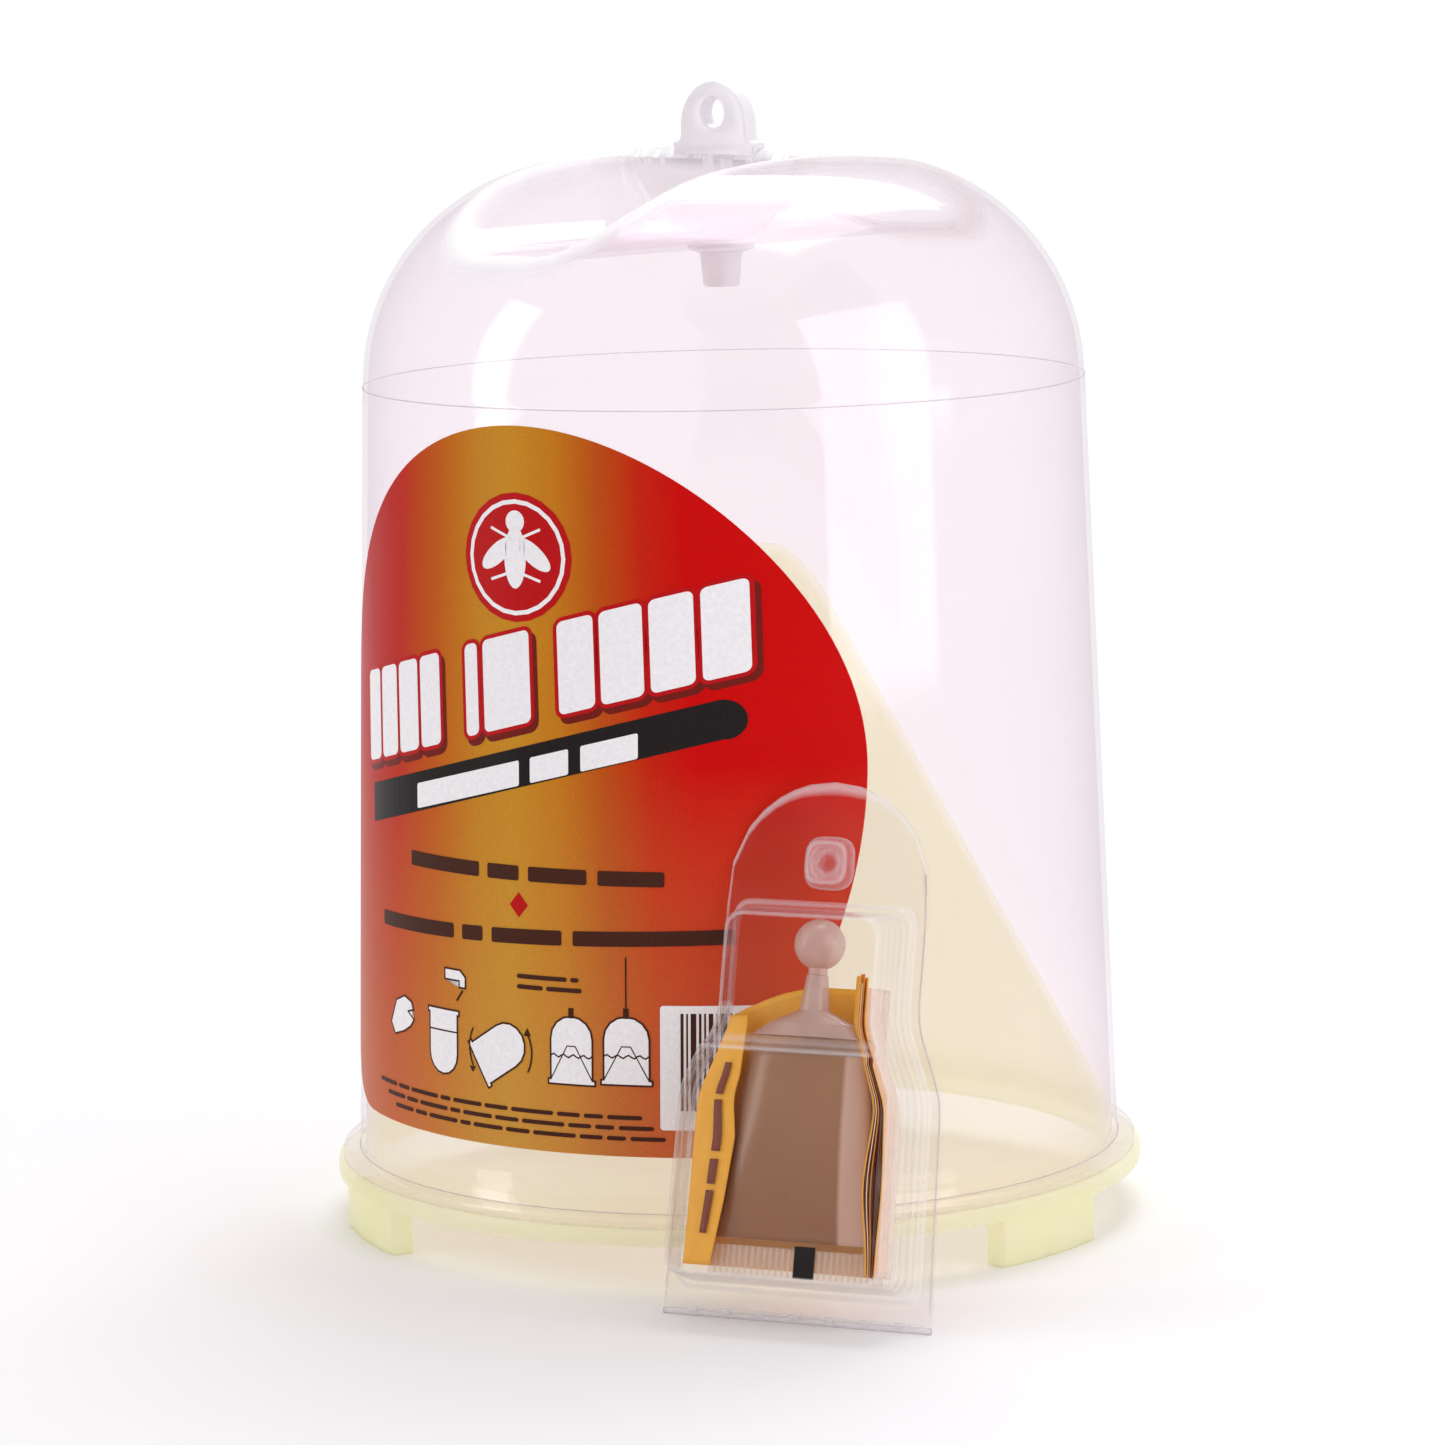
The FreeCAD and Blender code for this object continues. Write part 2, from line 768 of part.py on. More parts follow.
def main():
    os.makedirs("parts", exist_ok=True)
    save("bell", bell())
    save("funnel_base", funnel_base())
    save("label", label())
    pack_pieces = {
        "clamshell_front": clamshell_front,
        "clamshell_back": clamshell_back,
        "tube_sleeve": tube_sleeve,
        "tube_head": tube_head,
        "twist_off_tip": twist_off_tip,
        "attractant": attractant,
        "leaflet": leaflet,
    }
    for name, make in pack_pieces.items():
        save(name, place(make()))


main()
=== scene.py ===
import json
import math

import bmesh
import bpy
import numpy as np
from mathutils import Matrix, Vector


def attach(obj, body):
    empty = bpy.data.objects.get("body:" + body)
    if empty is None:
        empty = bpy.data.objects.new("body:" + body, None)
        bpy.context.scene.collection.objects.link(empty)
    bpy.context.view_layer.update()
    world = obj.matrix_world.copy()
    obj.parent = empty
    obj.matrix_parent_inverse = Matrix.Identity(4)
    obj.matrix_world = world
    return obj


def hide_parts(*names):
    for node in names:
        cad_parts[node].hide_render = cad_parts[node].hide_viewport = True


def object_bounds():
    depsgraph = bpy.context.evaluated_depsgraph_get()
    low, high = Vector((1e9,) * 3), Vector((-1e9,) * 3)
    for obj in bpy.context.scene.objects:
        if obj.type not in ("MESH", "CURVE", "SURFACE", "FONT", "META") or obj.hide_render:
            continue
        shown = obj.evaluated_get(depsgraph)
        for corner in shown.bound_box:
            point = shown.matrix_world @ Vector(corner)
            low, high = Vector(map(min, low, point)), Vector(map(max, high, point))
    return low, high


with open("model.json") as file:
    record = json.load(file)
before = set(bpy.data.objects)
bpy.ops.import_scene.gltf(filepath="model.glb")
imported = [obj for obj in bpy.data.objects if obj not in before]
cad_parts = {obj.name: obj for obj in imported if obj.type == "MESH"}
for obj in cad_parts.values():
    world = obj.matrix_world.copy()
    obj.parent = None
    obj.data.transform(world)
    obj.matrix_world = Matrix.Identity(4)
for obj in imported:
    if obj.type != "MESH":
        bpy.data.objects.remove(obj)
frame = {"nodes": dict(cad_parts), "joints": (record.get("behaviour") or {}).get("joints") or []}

cad_low, cad_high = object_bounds()
MM = 0.001

# ---------------------------------------------------------------- stage, camera and lamps
# The trap stands on a white paper sweep. Soft boxes hang above it and behind it, and one
# stands on each side. The camera looks slightly down at it from the front.

scene = bpy.context.scene
scene.view_settings.view_transform = "Standard"
scene.cycles.transparent_max_bounces = 32

camera_data = bpy.data.cameras.new("camera")
camera_data.lens = 148.63
camera_data.sensor_width = 36.0
camera_data.clip_start = 0.05
camera = bpy.data.objects.new("camera", camera_data)
camera.matrix_world = (
    Matrix.Translation((0.0, -1.1151, 0.25204))
    @ Matrix.Rotation(math.radians(0.079), 4, "Z")
    @ Matrix.Rotation(math.radians(90.0 - 8.127), 4, "X")
    @ Matrix.Rotation(math.radians(-1.198), 4, "Z")
)
scene.collection.objects.link(camera)
scene.camera = camera


def add_node(tree, kind, values=None, **settings):
    """Adds a shader or geometry node, sets its inputs from values and its own settings."""
    node = tree.nodes.new(kind)
    for key, value in settings.items():
        setattr(node, key, value)
    for key, value in (values or {}).items():
        node.inputs[key].default_value = value
    return node


def wire(tree, *links):
    """Joins nodes: each link is (node, output, next node, input)."""
    for node, output, following, entry in links:
        tree.links.new(node.outputs[output], following.inputs[entry])


def blank_finish(name):
    """A new material and its empty node tree."""
    material = bpy.data.materials.new(name)
    material.use_nodes = True
    material.node_tree.nodes.clear()
    return material, material.node_tree


def placed(name, data):
    """A new object in the scene."""
    ob = bpy.data.objects.new(name, data)
    scene.collection.objects.link(ob)
    return ob


def rescale(tree, source=(0.0, 1.0), result=(0.0, 1.0), **settings):
    """A node that maps one span of values to another."""
    values = dict(zip(("From Min", "From Max", "To Min", "To Max"), (*source, *result)))
    return add_node(tree, "ShaderNodeMapRange", values, **settings)


def seen_directly(tree):
    """1 for rays from the camera, a mirror or clear plastic, and 0 for light on a surface."""
    path = add_node(tree, "ShaderNodeLightPath")
    first = add_node(tree, "ShaderNodeMath", operation="MAXIMUM")
    second = add_node(tree, "ShaderNodeMath", operation="MAXIMUM")
    wire(
        tree,
        (path, "Is Camera Ray", first, 0),
        (path, "Is Glossy Ray", first, 1),
        (first, 0, second, 0),
        (path, "Is Transmission Ray", second, 1),
    )
    return second.outputs[0]


world = bpy.data.worlds.new("white_sweep")
world.use_nodes = True
scene.world = world
sky = world.node_tree
sky.nodes.clear()
room = add_node(sky, "ShaderNodeBackground", {"Color": (0.97, 0.97, 1.0, 1), "Strength": 0.62})
backdrop = add_node(sky, "ShaderNodeBackground", {"Color": (1, 1, 1, 1), "Strength": 1.0})
sky_mix = add_node(sky, "ShaderNodeMixShader")
sky_out = add_node(sky, "ShaderNodeOutputWorld")
sky.links.new(seen_directly(sky), sky_mix.inputs[0])
wire(
    sky,
    (room, 0, sky_mix, 1),
    (backdrop, 0, sky_mix, 2),
    (sky_mix, 0, sky_out, 0),
)

paper, tree = blank_finish("white_paper")
place = add_node(tree, "ShaderNodeTexCoord")
spread = add_node(tree, "ShaderNodeVectorMath", operation="LENGTH")
edge = rescale(tree, (0.16, 0.34), interpolation_type="SMOOTHSTEP")
matt = add_node(tree, "ShaderNodeBsdfDiffuse", {"Color": (0.93, 0.925, 0.93, 1)})
bright = add_node(tree, "ShaderNodeEmission", {"Color": (1, 1, 1, 1), "Strength": 1.0})
paper_mix = add_node(tree, "ShaderNodeMixShader")
paper_direct = add_node(tree, "ShaderNodeMath", operation="MULTIPLY")
paper_out = add_node(tree, "ShaderNodeOutputMaterial")
wire(
    tree,
    (place, "Object", spread, 0),
    (spread, "Value", edge, "Value"),
    (edge, "Result", paper_direct, 0),
)
tree.links.new(seen_directly(tree), paper_direct.inputs[1])
wire(
    tree,
    (paper_direct, 0, paper_mix, 0),
    (matt, 0, paper_mix, 1),
    (bright, 0, paper_mix, 2),
    (paper_mix, 0, paper_out, 0),
)
floor_mesh = bpy.data.meshes.new("paper_sweep")
floor_mesh.from_pydata(
    [(-4, -4, cad_low.z), (4, -4, cad_low.z), (4, 4, cad_low.z), (-4, 4, cad_low.z)],
    [],
    [(0, 1, 2, 3)],
)
floor_mesh.materials.append(paper)
floor = placed("paper_sweep", floor_mesh)


def soft_box(name, spot, target, width, height, power):
    """A rectangular lamp at spot that faces target."""
    lamp = bpy.data.lights.new(name, "AREA")
    lamp.shape = "RECTANGLE"
    lamp.size = width
    lamp.size_y = height
    lamp.energy = power
    ob = bpy.data.objects.new(name, lamp)
    ob.location = spot
    ob.rotation_euler = (Vector(target) - Vector(spot)).to_track_quat("-Z", "Y").to_euler()
    scene.collection.objects.link(ob)


soft_box("overhead_soft_box", (0.05, 0.12, 0.95), (0, 0, 0.1), 0.6, 0.45, 1.9)
soft_box("left_strip", (-0.86, -0.2, 0.36), (0, 0, 0.15), 0.22, 0.8, 1.5)
soft_box("right_window", (0.55, -0.5, 0.36), (0, 0, 0.15), 0.52, 0.66, 1.9)
soft_box("back_soft_box", (0.12, 0.52, 0.82), (0, 0, 0.19), 0.5, 0.42, 2.4)

# ---------------------------------------------------------------- bell
# One moulding in clear polypropylene, about 1 mm thick: a tapered body on a flange, a
# domed top with a finger scoop on each side of a thick web, and a step where the dome
# starts. Where the moulding is thick, it turns milky. Round the rims of the scoops it is
# whitened too, as a painted highlight.

BODY_FOOT_RADIUS = 72.0
BODY_TOP_RADIUS = 67.55
FLANGE_RADIUS = 75.2
FLANGE_LOW, FLANGE_HIGH = 12.0, 14.0
SEAM_HEIGHT = 158.0
DOME_RADIUS = 67.4
DOME_ARC = 41.0
DOME_ANGLE = math.radians(80.4)
BELL_WALL = 1.0
SCOOP_TURN = math.radians(-134.0)
SCOOP_HALF_WIDTH = 22.5
SCOOP_CORNER = 16.0
SCOOP_DEPTH = 17.2
WEB_HALF = 2.4
WEB_EDGE = 2.2
CAP_RADIUS_ANGLE = math.radians(29.5)
ARC_ROWS, BODY_ROWS = 16, 18
OUTER_EDGE, INNER_EDGE = 0.9, 1.2

arc_centre = DOME_RADIUS - DOME_ARC
crown_radius = DOME_ARC + arc_centre / math.cos(DOME_ANGLE)
crown_centre = SEAM_HEIGHT - arc_centre * math.tan(DOME_ANGLE)
crown_height = crown_centre + crown_radius
scoop_floor = crown_height - SCOOP_DEPTH
scoop_rim = scoop_floor + SCOOP_CORNER
web_normal = np.array([math.cos(SCOOP_TURN), math.sin(SCOOP_TURN)])
web_along = np.array([-math.sin(SCOOP_TURN), math.cos(SCOOP_TURN)])


def full_turn(steps):
    """Equal angles once round."""
    return np.linspace(0, 2 * math.pi, steps + 1)[:-1]


def dome_distance(points, inwards):
    """Distance outside the dome, a shoulder arc with a crown, moved inwards."""
    radius = np.hypot(points[:, 0], points[:, 1])
    out, up = radius - arc_centre, points[:, 2] - SEAM_HEIGHT
    shoulder = np.hypot(out, up) - (DOME_ARC - inwards)
    crown = np.hypot(radius, points[:, 2] - crown_centre) - (crown_radius - inwards)
    return np.where(np.arctan2(up, out) < DOME_ANGLE, shoulder, crown)


def channel_distance(across, height):
    """Distance outside the U channel that forms the scoops."""
    flat = SCOOP_HALF_WIDTH - SCOOP_CORNER
    side = np.abs(across)
    corner = np.hypot(side - flat, height - scoop_rim) - SCOOP_CORNER
    low = np.where(side > flat, corner, scoop_floor - height)
    return np.where(height > scoop_rim, side - SCOOP_HALF_WIDTH, low)


def rounded_overlap(a, b, radius):
    """Distance outside the overlap of two shapes, with the edge between them rounded."""
    both = np.hypot(np.maximum(a + radius, 0), np.maximum(b + radius, 0))
    return np.minimum(-radius, np.maximum(a, b)) + both


def bell_top(points, inwards, with_web, rim):
    """Distance outside the bell's top: the dome with its scoops cut out."""
    across = points[:, :2] @ web_along
    air = channel_distance(across, points[:, 2]) - inwards
    if with_web:
        air = rounded_overlap(air, WEB_HALF - np.abs(points[:, :2] @ web_normal), WEB_EDGE)
    return rounded_overlap(dome_distance(points, inwards), -air, rim)


def settle(points, distance):
    """Moves points the shortest way on to the surface where distance is zero."""
    rounds, probe, longest_move = 8, 0.001, 1.5
    for _ in range(rounds):
        here = distance(points)
        slope = np.stack(
            [
                (distance(points + step) - distance(points - step)) / (2 * probe)
                for step in np.eye(3) * probe
            ],
            axis=1,
        )
        move = here / np.maximum((slope**2).sum(1), 0.25)
        points = points - slope * np.clip(move, -longest_move, longest_move)[:, None]
    return points


def grid_lines(bands):
    """Symmetric grid positions from -1 to 1; bands are (end, count) from the middle out."""
    lines, at = [0.0], 0.0
    for end, count in bands:
        lines += [at + (end - at) * (i + 1) / count for i in range(count)]
        at = end
    lines = np.array(lines) / at
    return np.concatenate([-lines[:0:-1], lines])


def cap_points(inwards, with_web, rim):
    """Grid over the round top of one skin, in millimetres."""
    limit = arc_centre + (DOME_ARC - inwards) * math.cos(CAP_RADIUS_ANGLE)
    d_lines = grid_lines(((2.1, 4), (4.2, 7), (8.0, 5), (limit, 38)))
    t_lines = grid_lines(((7.0, 6), (18.0, 12), (24.5, 14), (limit, 25)))
    d, t = np.meshgrid(d_lines, t_lines, indexing="ij")
    d_real = limit * d * np.sqrt(1 - t**2 / 2)
    t_real = limit * t * np.sqrt(1 - d**2 / 2)
    flat = d_real.ravel()[:, None] * web_normal + t_real.ravel()[:, None] * web_along
    radius = np.hypot(flat[:, 0], flat[:, 1])
    out = np.maximum(radius - arc_centre, 0)
    height = SEAM_HEIGHT + np.sqrt((DOME_ARC - inwards) ** 2 - out**2)
    crown = crown_centre + np.sqrt((crown_radius - inwards) ** 2 - radius**2)
    height = np.minimum(height, crown)
    side = np.clip(np.abs(t_real.ravel()) - (SCOOP_HALF_WIDTH - SCOOP_CORNER), 0, 15.98)
    trough = scoop_rim - np.sqrt(SCOOP_CORNER**2 - side**2) - inwards
    trough = np.where(np.abs(t_real.ravel()) > SCOOP_HALF_WIDTH, np.inf, trough)
    low = np.minimum(height, trough)
    if with_web:
        ramp = np.clip((np.abs(d_real.ravel()) - WEB_HALF) / 1.5, 0, 1)
        low = height + (low - height) * ramp
    points = np.column_stack([flat, low])
    edge = np.zeros(d.shape, bool)
    edge[[0, -1], :] = edge[:, [0, -1]] = True
    edge = edge.ravel()
    moved = settle(points, lambda p: bell_top(p, inwards, with_web, rim))
    return np.where(edge[:, None], points, moved), d.shape


def rim_order(shape):
    """The grid's edge points in order, anticlockwise seen from above."""
    rows, columns = shape
    order = [(i, 0) for i in range(rows)]
    order += [(rows - 1, j) for j in range(1, columns)]
    order += [(i, columns - 1) for i in range(rows - 2, -1, -1)]
    order += [(0, j) for j in range(columns - 2, 0, -1)]
    return [i * columns + j for i, j in order]


outer_cap, cap_shape = cap_points(0.0, True, OUTER_EDGE)
inner_cap, _ = cap_points(BELL_WALL, False, INNER_EDGE)
order = rim_order(cap_shape)
rim_turn = np.arctan2(outer_cap[order, 1], outer_cap[order, 0])
wall_profile = [
    (arc_centre + DOME_ARC * math.cos(a), SEAM_HEIGHT + DOME_ARC * math.sin(a))
    for a in np.linspace(CAP_RADIUS_ANGLE, 0.0, ARC_ROWS)[1:]
]
wall_profile += [(BODY_TOP_RADIUS, SEAM_HEIGHT - 0.15)]
body_rows = range(1, BODY_ROWS + 1)
wall_profile += [
    (
        BODY_TOP_RADIUS + (BODY_FOOT_RADIUS - BODY_TOP_RADIUS) * k / BODY_ROWS,
        157.85 - 143.4 * k / BODY_ROWS,
    )
    for k in body_rows
]
wall_profile += [(72.08, 14.2), (72.35, FLANGE_HIGH), (74.9, FLANGE_HIGH)]
wall_profile += [(FLANGE_RADIUS, 13.7), (FLANGE_RADIUS, 12.3), (74.9, FLANGE_LOW)]
wall_profile += [(71.3, FLANGE_LOW), (71.0, 12.3)]
wall_profile += [
    (71.0 - 4.45 * k / BODY_ROWS, FLANGE_HIGH + (SEAM_HEIGHT - FLANGE_HIGH) * k / BODY_ROWS)
    for k in body_rows
]
wall_profile += [
    (
        arc_centre + (DOME_ARC - BELL_WALL) * math.cos(a),
        SEAM_HEIGHT + (DOME_ARC - BELL_WALL) * math.sin(a),
    )
    for a in np.linspace(0.0, CAP_RADIUS_ANGLE, ARC_ROWS)[1:-1]
]
rings = [
    np.column_stack([r * np.cos(rim_turn), r * np.sin(rim_turn), np.full(len(order), z)])
    for r, z in wall_profile
]
bell_points = np.concatenate([outer_cap, inner_cap] + rings)
cap_count = len(outer_cap)
around = len(order)
ring_index = [order]
ring_index += [
    [2 * cap_count + k * around + i for i in range(around)] for k in range(len(rings))
]
ring_index.append([cap_count + i for i in order])
bell_faces = []
for i in range(cap_shape[0] - 1):
    for j in range(cap_shape[1] - 1):
        a = i * cap_shape[1] + j
        quad = (a, a + cap_shape[1], a + cap_shape[1] + 1, a + 1)
        bell_faces.append(quad)
        bell_faces.append(tuple(cap_count + q for q in reversed(quad)))
for upper, lower in zip(ring_index, ring_index[1:]):
    for i in range(around):
        j = (i + 1) % around
        bell_faces.append((upper[i], lower[i], lower[j], upper[j]))


def new_piece(name, points, faces, material, smooth=True):
    """A mesh object from points in millimetres in the row frame."""
    mesh = bpy.data.meshes.new(name)
    mesh.from_pydata([tuple(p) for p in np.asarray(points, float) * MM], [], faces)
    mesh.materials.append(material)
    if smooth:
        mesh.shade_smooth()
    mesh.update()
    ob = placed(name, mesh)
    return ob


def face_outwards(ob):
    """Turns every face outwards on a closed piece, after merging double points."""
    work = bmesh.new()
    work.from_mesh(ob.data)
    bmesh.ops.remove_doubles(work, verts=work.verts, dist=1e-6)
    bmesh.ops.recalc_face_normals(work, faces=work.faces)
    work.to_mesh(ob.data)
    work.free()


def noise(tree, scale, detail, **settings):
    """Procedural noise in the piece's own space."""
    place = add_node(tree, "ShaderNodeTexCoord")
    cloud = add_node(tree, "ShaderNodeTexNoise", {"Scale": scale, "Detail": detail, **settings})
    wire(tree, (place, "Object", cloud, "Vector"))
    return cloud


def two_tones(tree, first, second, start=0.0, end=1.0):
    """A blend from one colour to another."""
    blend = add_node(tree, "ShaderNodeValToRGB")
    stops = zip(blend.color_ramp.elements, (start, end), (first, second))
    for stop, position, colour in stops:
        stop.position = position
        stop.color = (*colour, 1)
    return blend


def clear_plastic(
    name, tint, edge_tint, milk_colour, gloss, haze, mirror_edge, mirror_flat=0.035
):
    """Clear plastic: more tinted and more of a mirror seen edge on, and milky by its haze.

    Returns the material, its haze input and its milk shader.
    """
    material, tree = blank_finish(name)
    facing = add_node(tree, "ShaderNodeLayerWeight", {"Blend": 0.5})
    steep = add_node(tree, "ShaderNodeMath", {1: 4.0}, operation="POWER")
    tint_mix = add_node(tree, "ShaderNodeMix", data_type="RGBA")
    tint_mix.inputs[6].default_value = tint
    tint_mix.inputs[7].default_value = edge_tint
    clear = add_node(tree, "ShaderNodeBsdfTransparent")
    milk = add_node(
        tree, "ShaderNodeBsdfPrincipled", {"Base Color": milk_colour, "Roughness": 0.3}
    )
    mirror = add_node(
        tree, "ShaderNodeBsdfGlossy", {"Color": (1, 1, 1, 1), "Roughness": gloss}
    )
    steeper = add_node(tree, "ShaderNodeMath", {1: 5.0}, operation="POWER")
    shine = add_node(
        tree, "ShaderNodeMath", {1: mirror_edge, 2: mirror_flat}, operation="MULTIPLY_ADD"
    )
    inner = add_node(tree, "ShaderNodeMixShader", {0: haze})
    outer = add_node(tree, "ShaderNodeMixShader")
    out = add_node(tree, "ShaderNodeOutputMaterial")
    wire(
        tree,
        (facing, "Facing", steep, 0),
        (steep, 0, tint_mix, 0),
        (tint_mix, 2, clear, "Color"),
        (clear, 0, inner, 1),
        (milk, 0, inner, 2),
        (facing, "Facing", steeper, 0),
        (steeper, 0, shine, 0),
        (shine, 0, outer, 0),
        (inner, 0, outer, 1),
        (mirror, 0, outer, 2),
        (outer, 0, out, 0),
    )
    return material, inner.inputs[0], milk


bell_finish, bell_haze, _ = clear_plastic(
    "clear_polypropylene",
    (0.993, 0.968, 0.985, 1),
    (0.86, 0.81, 0.85, 1),
    (1.0, 0.985, 0.995, 1),
    0.07,
    0.03,
    0.55,
)
tree = bell_finish.node_tree
# The attribute read here holds the milk of the thick moulding and the painted highlight on the
# scoop rims.
thickness_and_rim_highlight = add_node(tree, "ShaderNodeAttribute", attribute_name="milk_and_rim_highlight")
swirl = noise(tree, 35.0, 3.0)
swirl_amount = rescale(tree, (0.3, 0.7), (0.02, 0.05))
haze_sum = add_node(tree, "ShaderNodeMath", {1: 0.72}, operation="MULTIPLY_ADD")
wire(
    tree,
    (swirl, "Fac", swirl_amount, "Value"),
    (thickness_and_rim_highlight, "Fac", haze_sum, 0),
    (swirl_amount, "Result", haze_sum, 2),
)
tree.links.new(haze_sum.outputs[0], bell_haze)

bell = new_piece("bell_shell", bell_points, bell_faces, bell_finish)
depth = bell_top(bell_points, BELL_WALL, False, INNER_EDGE)
MILKY_FROM, MILKY_SPAN = 1.25, 3.5
PAINTED_RIM_HIGHLIGHT, PAINTED_RIM_REACH = 1.35, 3.2
milk_and_rim_highlight = np.clip((depth - MILKY_FROM) / MILKY_SPAN, 0, 1)
# Painted highlight: the rounded rims of the scoops are made milky white, standing in for the soft
# boxes' reflection on them.
rim_near = np.maximum(
    np.abs(dome_distance(bell_points, 0.0)),
    np.abs(channel_distance(bell_points[:, :2] @ web_along, bell_points[:, 2])),
)
milk_and_rim_highlight = np.maximum(milk_and_rim_highlight, np.clip(PAINTED_RIM_HIGHLIGHT - rim_near / PAINTED_RIM_REACH, 0, 1))
milk_and_rim_highlight[bell_points[:, 2] < SEAM_HEIGHT] = 0.0
attribute = bell.data.attributes.new("milk_and_rim_highlight", "FLOAT", "POINT")
attribute.data.foreach_set("value", milk_and_rim_highlight.astype(np.float32))
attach(bell, "trap")
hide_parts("bell")

# The lug is a thick round-topped plate with the hanging hole. It stands on the web, in the
# same moulding, and flares where it joins. It is milky because it is solid.

LUG_WIDTH = 17.0
LUG_THICKNESS = 3.2
LUG_HEIGHT = 12.1
LUG_ROOT = 2.0
LUG_BEVEL = 0.55
HOLE_RADIUS = 2.8
HOLE_DROP = 5.9

lug_finish, _, lug_milk = clear_plastic(
    "milky_polypropylene",
    (0.97, 0.95, 0.97, 1),
    (0.90, 0.87, 0.90, 1),
    (0.90, 0.875, 0.90, 1),
    0.18,
    0.62,
    0.4,
)
tree = lug_finish.node_tree
cloud = noise(tree, 180.0, 4.0)
cloud_colour = two_tones(tree, (0.86, 0.83, 0.865), (0.97, 0.955, 0.975))
wire(
    tree,
    (cloud, "Fac", cloud_colour, "Fac"),
    (cloud_colour, "Color", lug_milk, "Base Color"),
)

half = LUG_WIDTH / 2 - LUG_BEVEL
top_centre = crown_height + LUG_HEIGHT - LUG_WIDTH / 2
outline = [
    (half * math.cos(a), top_centre + half * math.sin(a)) for a in np.linspace(0, math.pi, 33)
]
flare = [
    (
        -half - LUG_ROOT * (1 - math.cos(a)),
        crown_height + LUG_ROOT * (1 - math.sin(a)) + 0.2,
    )
    for a in np.linspace(0, math.pi / 2, 7)
]
outline += flare
outline += [(-half - LUG_ROOT, crown_height - 3.0), (half + LUG_ROOT, crown_height - 3.0)]
outline += [(-x, z) for x, z in reversed(flare)]
hole_height = crown_height + LUG_HEIGHT - HOLE_DROP
hole_open = HOLE_RADIUS + LUG_BEVEL
hole = [
    (hole_open * math.cos(a), hole_height + hole_open * math.sin(a))
    for a in np.linspace(0, -2 * math.pi, 33)[:-1]
]
lug_curve = bpy.data.curves.new("lug_outline", "CURVE")
lug_curve.dimensions = "2D"
lug_curve.fill_mode = "BOTH"
lug_curve.extrude = (LUG_THICKNESS / 2 - LUG_BEVEL) * MM
lug_curve.bevel_depth = LUG_BEVEL * MM
lug_curve.bevel_resolution = 3
for loop in (outline, hole):
    spline = lug_curve.splines.new("POLY")
    spline.points.add(len(loop) - 1)
    for point, (x, z) in zip(spline.points, loop):
        point.co = (x * MM, z * MM, 0, 1)
    spline.use_cyclic_u = True
lug_maker = placed("lug_maker", lug_curve)
lug_mesh = bpy.data.meshes.new_from_object(
    lug_maker.evaluated_get(bpy.context.evaluated_depsgraph_get())
)
bpy.data.objects.remove(lug_maker)
lug_mesh.transform(
    Matrix(
        (
            (web_along[0], 0, web_normal[0], 0),
            (web_along[1], 0, web_normal[1], 0),
            (0, 1, 0, 0),
            (0, 0, 0, 1),
        )
    )
)
lug_mesh.materials.clear()
lug_mesh.materials.append(lug_finish)
lug = placed("hanging_lug", lug_mesh)
face_outwards(lug)
lug_mesh.shade_smooth()
lug_mesh.set_sharp_from_angle(angle=math.radians(50))
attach(lug, "trap")

# The stem under the web is where the moulding was filled: a short tapered plug with a
# collar, hanging inside the dome.


def blank_group(name, *inputs):
    """A geometry node group with named inputs, and the node that gives them."""
    tree = bpy.data.node_groups.new(name, "GeometryNodeTree")
    for title, kind in inputs:
        tree.interface.new_socket(title, in_out="INPUT", socket_type="NodeSocket" + kind)
    tree.interface.new_socket("Geometry", in_out="OUTPUT", socket_type="NodeSocketGeometry")
    return tree, add_node(tree, "NodeGroupInput")


def close_group(tree, node, output, material):
    """Ends a node group: its instances are made real and given their material."""
    real = add_node(tree, "GeometryNodeRealizeInstances")
    paint = add_node(tree, "GeometryNodeSetMaterial", {"Material": material})
    out = add_node(tree, "NodeGroupOutput")
    wire(
        tree,
        (node, output, real, "Geometry"),
        (real, "Geometry", paint, "Geometry"),
        (paint, "Geometry", out, 0),
    )
    return tree


def turning_tree(material):
    """Geometry nodes that turn a profile of edges, given in X out and Z up, about an axis."""
    tree, given = blank_group(
        "turned_moulding",
        ("Profile", "Geometry"),
        ("Turning Radius", "Float"),
        ("Steps Round", "Int"),
    )
    circle = add_node(tree, "GeometryNodeCurvePrimitiveCircle", mode="RADIUS")
    profile = add_node(tree, "GeometryNodeMeshToCurve")
    sweep = add_node(tree, "GeometryNodeCurveToMesh")
    smooth = add_node(tree, "GeometryNodeSetShadeSmooth")
    wire(
        tree,
        (given, "Turning Radius", circle, "Radius"),
        (given, "Steps Round", circle, "Resolution"),
        (given, "Profile", profile, "Mesh"),
        (circle, "Curve", sweep, "Curve"),
        (profile, "Curve", sweep, "Profile Curve"),
        (sweep, "Mesh", smooth, "Geometry"),
    )
    return close_group(tree, smooth, "Geometry", material)


def made_by(tree, name, start, inputs):
    """Runs a geometry node tree on a starting mesh and keeps the result as a plain mesh."""
    maker = placed(name + "_maker", start)
    modifier = maker.modifiers.new("maker", "NODES")
    modifier.node_group = tree
    for item in tree.interface.items_tree:
        if item.in_out == "INPUT" and item.name in inputs:
            modifier[item.identifier] = inputs[item.name]
    bpy.context.view_layer.update()
    mesh = bpy.data.meshes.new_from_object(
        maker.evaluated_get(bpy.context.evaluated_depsgraph_get())
    )
    mesh.name = name
    bpy.data.objects.remove(maker)
    ob = placed(name, mesh)
    return ob


